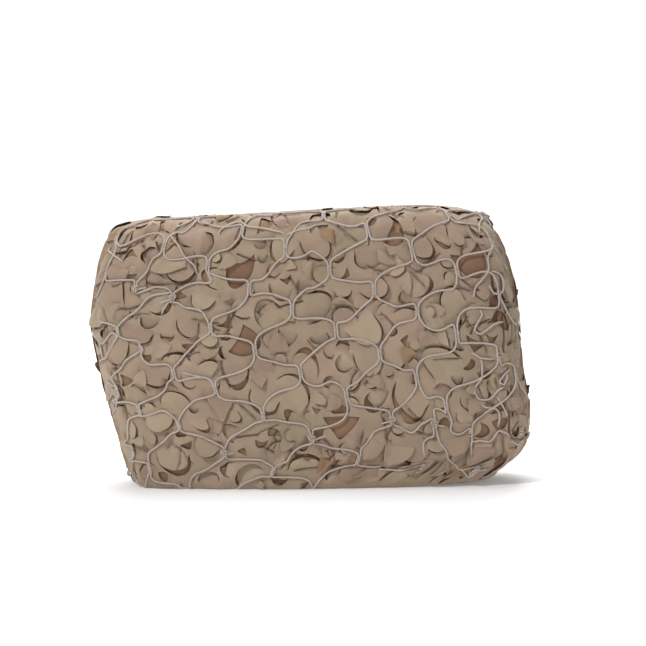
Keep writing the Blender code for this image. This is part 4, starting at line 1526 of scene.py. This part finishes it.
def inner_line():
    """The middle of the folded sheet in the square section, up and down from layer to layer."""
    points = []
    foot = LAYER * 1.5 + PITCH
    for number in range(1, INNER_LAYERS + 1):
        y = layer_y(number)
        top = ceiling(y) - LAYER - SLACK
        rising = [(y, foot), (y, 0.082), (y, 0.193), (y, top - PITCH / 2)]
        points += rising if number % 2 else rising[::-1]
        if number < INNER_LAYERS:
            turn_height, end = foot, -180
            if number % 2:
                turn_height, end = min(top, ceiling(layer_y(number + 1)) - LAYER - SLACK) - PITCH / 2, 180
            middle = (y + layer_y(number + 1)) / 2
            points += [tuple(p) for p in arc(middle, turn_height, PITCH / 2, 0, end, 6)]
    return np.array(points)


def lip(end, ply, run, line, aside):
    """The lip of one ply at one end: its points, triangles, marks, tones, and which triangles are brown."""
    seed = 40 + 10 * end + ply
    wobble = 0.0012 * lumps(run, 0.5 * ply, 0.04, seed) + 0.0005 * lumps(run, 0.2, 0.012, seed + 1)
    scallop = np.abs(np.sin(math.pi * run / SCALLOP + 3.0 * lumps(run, 0.3, 0.09, seed + 3) + 2.1 * ply))
    rag = 0.0012 + 0.0050 * (1 - scallop) ** 2 + 0.0018 * np.abs(lumps(run, 0.7, 0.05, seed + 4))
    gape = 1 + 0.7 * lumps(run, 0.1, 0.03, seed + 5)
    points, marks, brown = [], [], []
    for depth, width in LIP_PROFILE:
        spot = line + (LIP_OFFSETS[ply] + wobble + width * LIP_RADIUS * gape)[:, None] * aside
        inward = (rag + depth) / LENGTH
        points.append(bundle(1 - inward if end else inward, spot[:, 0], spot[:, 1]))
        marks.append(np.stack([run + 0.37 * ply, np.full(len(run), depth * np.sign(width) + 0.1)], axis=1))
    for row in range(len(LIP_PROFILE) - 1):
        brown.append(lumps(run[:-1], 0.2 + 0.4 * row / len(LIP_PROFILE), 0.08, seed + 7) > 0.25)
    faces = grid_triangles(len(LIP_PROFILE), len(run))
    tones = np.tile(lumps(run, 0.9, 0.03, seed + 6), len(LIP_PROFILE))
    faces = faces[:, ::-1] if end else faces
    return np.vstack(points), faces, np.vstack(marks), tones, np.tile(np.ravel(brown), 2)


def joined(parts):
    """Several meshes, given as points, triangles and other arrays, as one."""
    firsts = np.cumsum([0] + [len(points) for points, *_ in parts])
    points, triangles, *others = zip(*parts)
    triangles = [faces + first for faces, first in zip(triangles, firsts)]
    return [np.concatenate(arrays) for arrays in (points, triangles, *others)]


def end_folds():
    """The lips of the folded plies at both ends of the bundle."""
    line = inner_line()
    length_along = run_along(line)
    run = np.arange(0.0, length_along[-1], LIP_STEP)
    line = points_at(run, line, length_along)
    aside = beside(unit(np.gradient(line, axis=0)))
    lips = [lip(end, ply, run, line, aside) for end in (0, 1) for ply in range(len(LIP_OFFSETS))]
    points, triangles, marks, tones, brown = joined(lips)
    points[:, 2] = np.maximum(points[:, 2], FLOOR_CLEAR)
    values = {"rim": np.zeros(len(points)), "tone": tones}
    return mesh_of("garnish_end_folds", points, triangles, brown, (TAN_FACE, BROWN_FACE), marks, values, 80.0)


# ---- Cords -----------------------------------------------------------
CORD_RADIUS = 0.00110
CORD_SIDES = 8
SEIZING = 0.62 * CORD_RADIUS  # the stitches that hold a joint together: their radius
SEIZING_SIDES = 6
SEIZING_LEVELS = (-0.0034, 0.0, 0.0034)
SEIZING_SLOPE = 0.0012


def tube(points, outs, radius, sides):
    """A round tube along points, with the length along it and the part round it at each corner."""
    along = unit(np.gradient(points, axis=0))
    side = unit(np.cross(outs, along))
    up = np.cross(along, side)
    run = run_along(points)
    angles = np.arange(sides) * 2 * math.pi / sides
    ring = np.cos(angles)[None, :, None] * side[:, None] + np.sin(angles)[None, :, None] * up[:, None]
    tips = points[0] - along[0] * radius * 0.6, points[-1] + along[-1] * radius * 0.6
    vertices = np.vstack([(points[:, None] + radius * ring).reshape(-1, 3), *tips])
    marks = np.stack([np.repeat(run, sides), np.tile(np.abs(angles / math.pi - 1), len(run))], axis=1)
    marks = np.vstack([marks, (0.0, 0.5), (run[-1], 0.5)])
    place, after = np.arange(sides), np.roll(np.arange(sides), -1)
    first = np.arange(len(run) - 1)[:, None] * sides
    a, b = (first + place).ravel(), (first + after).ravel()
    last = (len(run) - 1) * sides
    foot, tip = np.full(sides, last + sides), np.full(sides, last + sides + 1)
    walls = (a, b, b + sides), (a, b + sides, a + sides)
    caps = (place, foot, after), (last + place, last + after, tip)
    return vertices, np.vstack([np.stack(corners, axis=1) for corners in (*walls, *caps)]), marks


def cord_tube(spots, rise, radius, sides):
    """A tube along spots of the map, clear of the floor."""
    points, outs = skin(*spots.T, rise)
    points[:, 2] = np.maximum(points[:, 2], CORD_RADIUS + FLOOR_CLEAR)
    return tube(points, outs, radius, sides)


def cord_piece(name, tubes):
    """One piece from tubes of cord."""
    vertices, triangles, marks = joined(tubes)
    return mesh_of(name, vertices, triangles, np.zeros(len(triangles)), (CORD_FACE,), marks, None, 60.0)


def net_cords():
    """The net round the outside: its bars, and the stitches that hold two strands together at each joint."""
    tubes = [cord_tube(line, rises, CORD_RADIUS, CORD_SIDES) for line, rises in CORD_LINES]
    generator = np.random.default_rng(23)
    part = np.linspace(-1.0, 1.0, 9)
    arch = CORD_RISE + CORD_RADIUS * 0.75 - np.abs(part) ** 3 * CORD_RADIUS * 1.3
    for u, v in JOINTS.values():
        for level in SEIZING_LEVELS:
            slope = generator.uniform(-SEIZING_SLOPE, SEIZING_SLOPE)
            spots = np.stack([u + part * CORD * 0.98, v + level + part * slope], axis=1)
            tubes.append(cord_tube(spots, arch, SEIZING, SEIZING_SIDES))
    return cord_piece("net_cords", tubes)


# ---- Ties ------------------------------------------------------------
TIES = (
    # row, column, side of the free end, its length, its slope
    (0, 4, 1, 0.012, 0.2),
    (1, 4, 1, 0.010, -0.2),
    (2, 1, 1, 0.009, 0.1),
    (2, 2, 1, 0.014, 0.3),
    (2, 3, -1, 0.010, -0.2),
    (7, 1, -1, 0.012, -0.3),
    (8, 0, 1, 0.010, 0.2),
    (9, 5, -1, 0.012, 0.2),
)
KNOT = 0.001302  # a third of the radius of a tie's overhand knot
KNOT_GAP = 0.42  # the part of the knot's closed curve, as an angle, that is left open for its ends
TIE_RISE = 0.0046
TIE_RADIUS = 0.86 * CORD_RADIUS
TIE_STEP = 0.0009


def tie(number, joint, side, length, slope):
    """A short cord knotted over a joint, with its free end lying on the cloth."""
    turn = np.linspace(KNOT_GAP, 2 * math.pi - KNOT_GAP, 44)
    x = side * (np.sin(turn) + 2 * np.sin(2 * turn))
    y = np.cos(turn) - 2 * np.cos(2 * turn)
    knot = np.stack([x, y, -np.sin(3 * turn)], axis=1) * KNOT
    out = knot[-1] + [side * 0.004, -0.001, -0.0016]
    tail = [out + [side * length * part, slope * length * part, -0.0018 * part] for part in (0.35, 0.7, 1.0)]
    path = spline(np.vstack([knot, [out], tail]), TIE_STEP)
    way = cord_tube(JOINTS[joint] + path[:, :2], TIE_RISE + path[:, 2], TIE_RADIUS, CORD_SIDES)
    return cord_piece(f"tie_cord_{number}", [way])


# ---- Making it all ---------------------------------------------------


def fit(piece, node):
    """Ties a piece to the CAD node that it takes the place of."""
    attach(piece, "root")
    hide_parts(node)


def make_object():
    """Builds every piece and ties it to the CAD model."""
    front, back, leaves, outer = outer_ply()
    under, inside_mass, ends = under_ply(outer), core(), end_folds()
    for piece in (front, back, leaves, under, inside_mass, ends):
        fit(piece, "garnish_cloth")
    fit(net_cords(), "cord_net")
    for number, (row, place, side, length, slope) in enumerate(TIES, 1):
        fit(tie(number, (row, place), side, length, slope), f"tie_{number}")
    length = 2 * len(LIP_OFFSETS) * LIP_RUN


WHITE = (1.0, 1.0, 1.0, 1.0)
PAPER = (0.90, 0.90, 0.90, 1.0)
ROOM_LIGHT, BACKDROP_LIGHT = 0.17, 1.15  # the surround's strength, and behind the bundle
LAMPS = (
    # name, place, size, power, what it is aimed at
    ("key", (-1.3, -1.4, 2.0), 0.28, 38.0, (0.0, 0.0, 0.15)),
    ("fill", (1.6, -1.5, 1.0), 1.6, 3.0, (0.0, 0.0, 0.15)),
    ("top", (0.1, 0.3, 2.2), 1.4, 26.0, (0.0, 0.0, 0.15)),
    ("behind", (0.0, 2.0, 1.8), 2.5, 60.0, (0.0, 1.6, 0.0)),
)


def floor():
    """A wide pale floor."""
    bpy.ops.mesh.primitive_circle_add(vertices=96, radius=2.0, fill_type="NGON")
    made = bpy.context.object
    made.name = "floor"
    paper = bpy.data.materials.new("floor_paper")
    paper.use_nodes = True
    inputs = paper.node_tree.nodes["Principled BSDF"].inputs
    inputs["Base Color"].default_value = PAPER
    inputs["Roughness"].default_value = 0.9
    inputs["Emission Color"].default_value = WHITE
    inputs["Emission Strength"].default_value = 0.15
    made.data.materials.append(paper)
    made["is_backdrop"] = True


def surround():
    """A white surround, bright only behind the bundle, with colours shown as they are."""
    world = bpy.data.worlds.new("surround")
    bpy.context.scene.world = world
    world.use_nodes = True
    nodes, links = world.node_tree.nodes, world.node_tree.links
    background = nodes["Background"]
    background.inputs["Color"].default_value = WHITE
    where = nodes.new("ShaderNodeTexCoord")
    split = nodes.new("ShaderNodeSeparateXYZ")
    behind = nodes.new("ShaderNodeMapRange")
    links.new(where.outputs["Generated"], split.inputs[0])
    links.new(split.outputs[1], behind.inputs[0])
    for socket, number in enumerate((0.80, 0.90, ROOM_LIGHT, BACKDROP_LIGHT), 1):
        behind.inputs[socket].default_value = number
    links.new(behind.outputs[0], background.inputs["Strength"])
    bpy.context.scene.view_settings.view_transform = "Standard"


def put(name, data, place):
    """A lamp or a camera at its place."""
    made = bpy.data.objects.new(name, data)
    made.location = place
    bpy.context.collection.objects.link(made)
    return made


def lamps():
    """Soft lamps from the upper left, above and behind."""
    for name, place, size, power, target in LAMPS:
        lamp = bpy.data.lights.new(name, "AREA")
        lamp.shape = "DISK"
        lamp.size = size
        lamp.energy = power
        aim = Vector(target) - Vector(place)
        put(name, lamp, place).rotation_euler = aim.to_track_quat("-Z", "Y").to_euler()


def camera():
    """The camera at the photograph's place."""
    lens = bpy.data.cameras.new("camera")
    lens.sensor_fit = "HORIZONTAL"
    lens.angle = 2 * math.atan(PHOTO_SIZE / 2 * PIXEL / EYE_DISTANCE)
    made = put("camera", lens, EYE_PLACE)
    forward = Vector(FORWARD)
    made.rotation_mode = "QUATERNION"
    made.rotation_quaternion = Quaternion(forward, EYE_ROLL) @ forward.to_track_quat("-Z", "Y")
    bpy.context.scene.camera = made


make_object()
floor()
surround()
lamps()
camera()
[[list(map(float, corner)) for corner in box] for box in (CAD_BOX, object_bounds())]
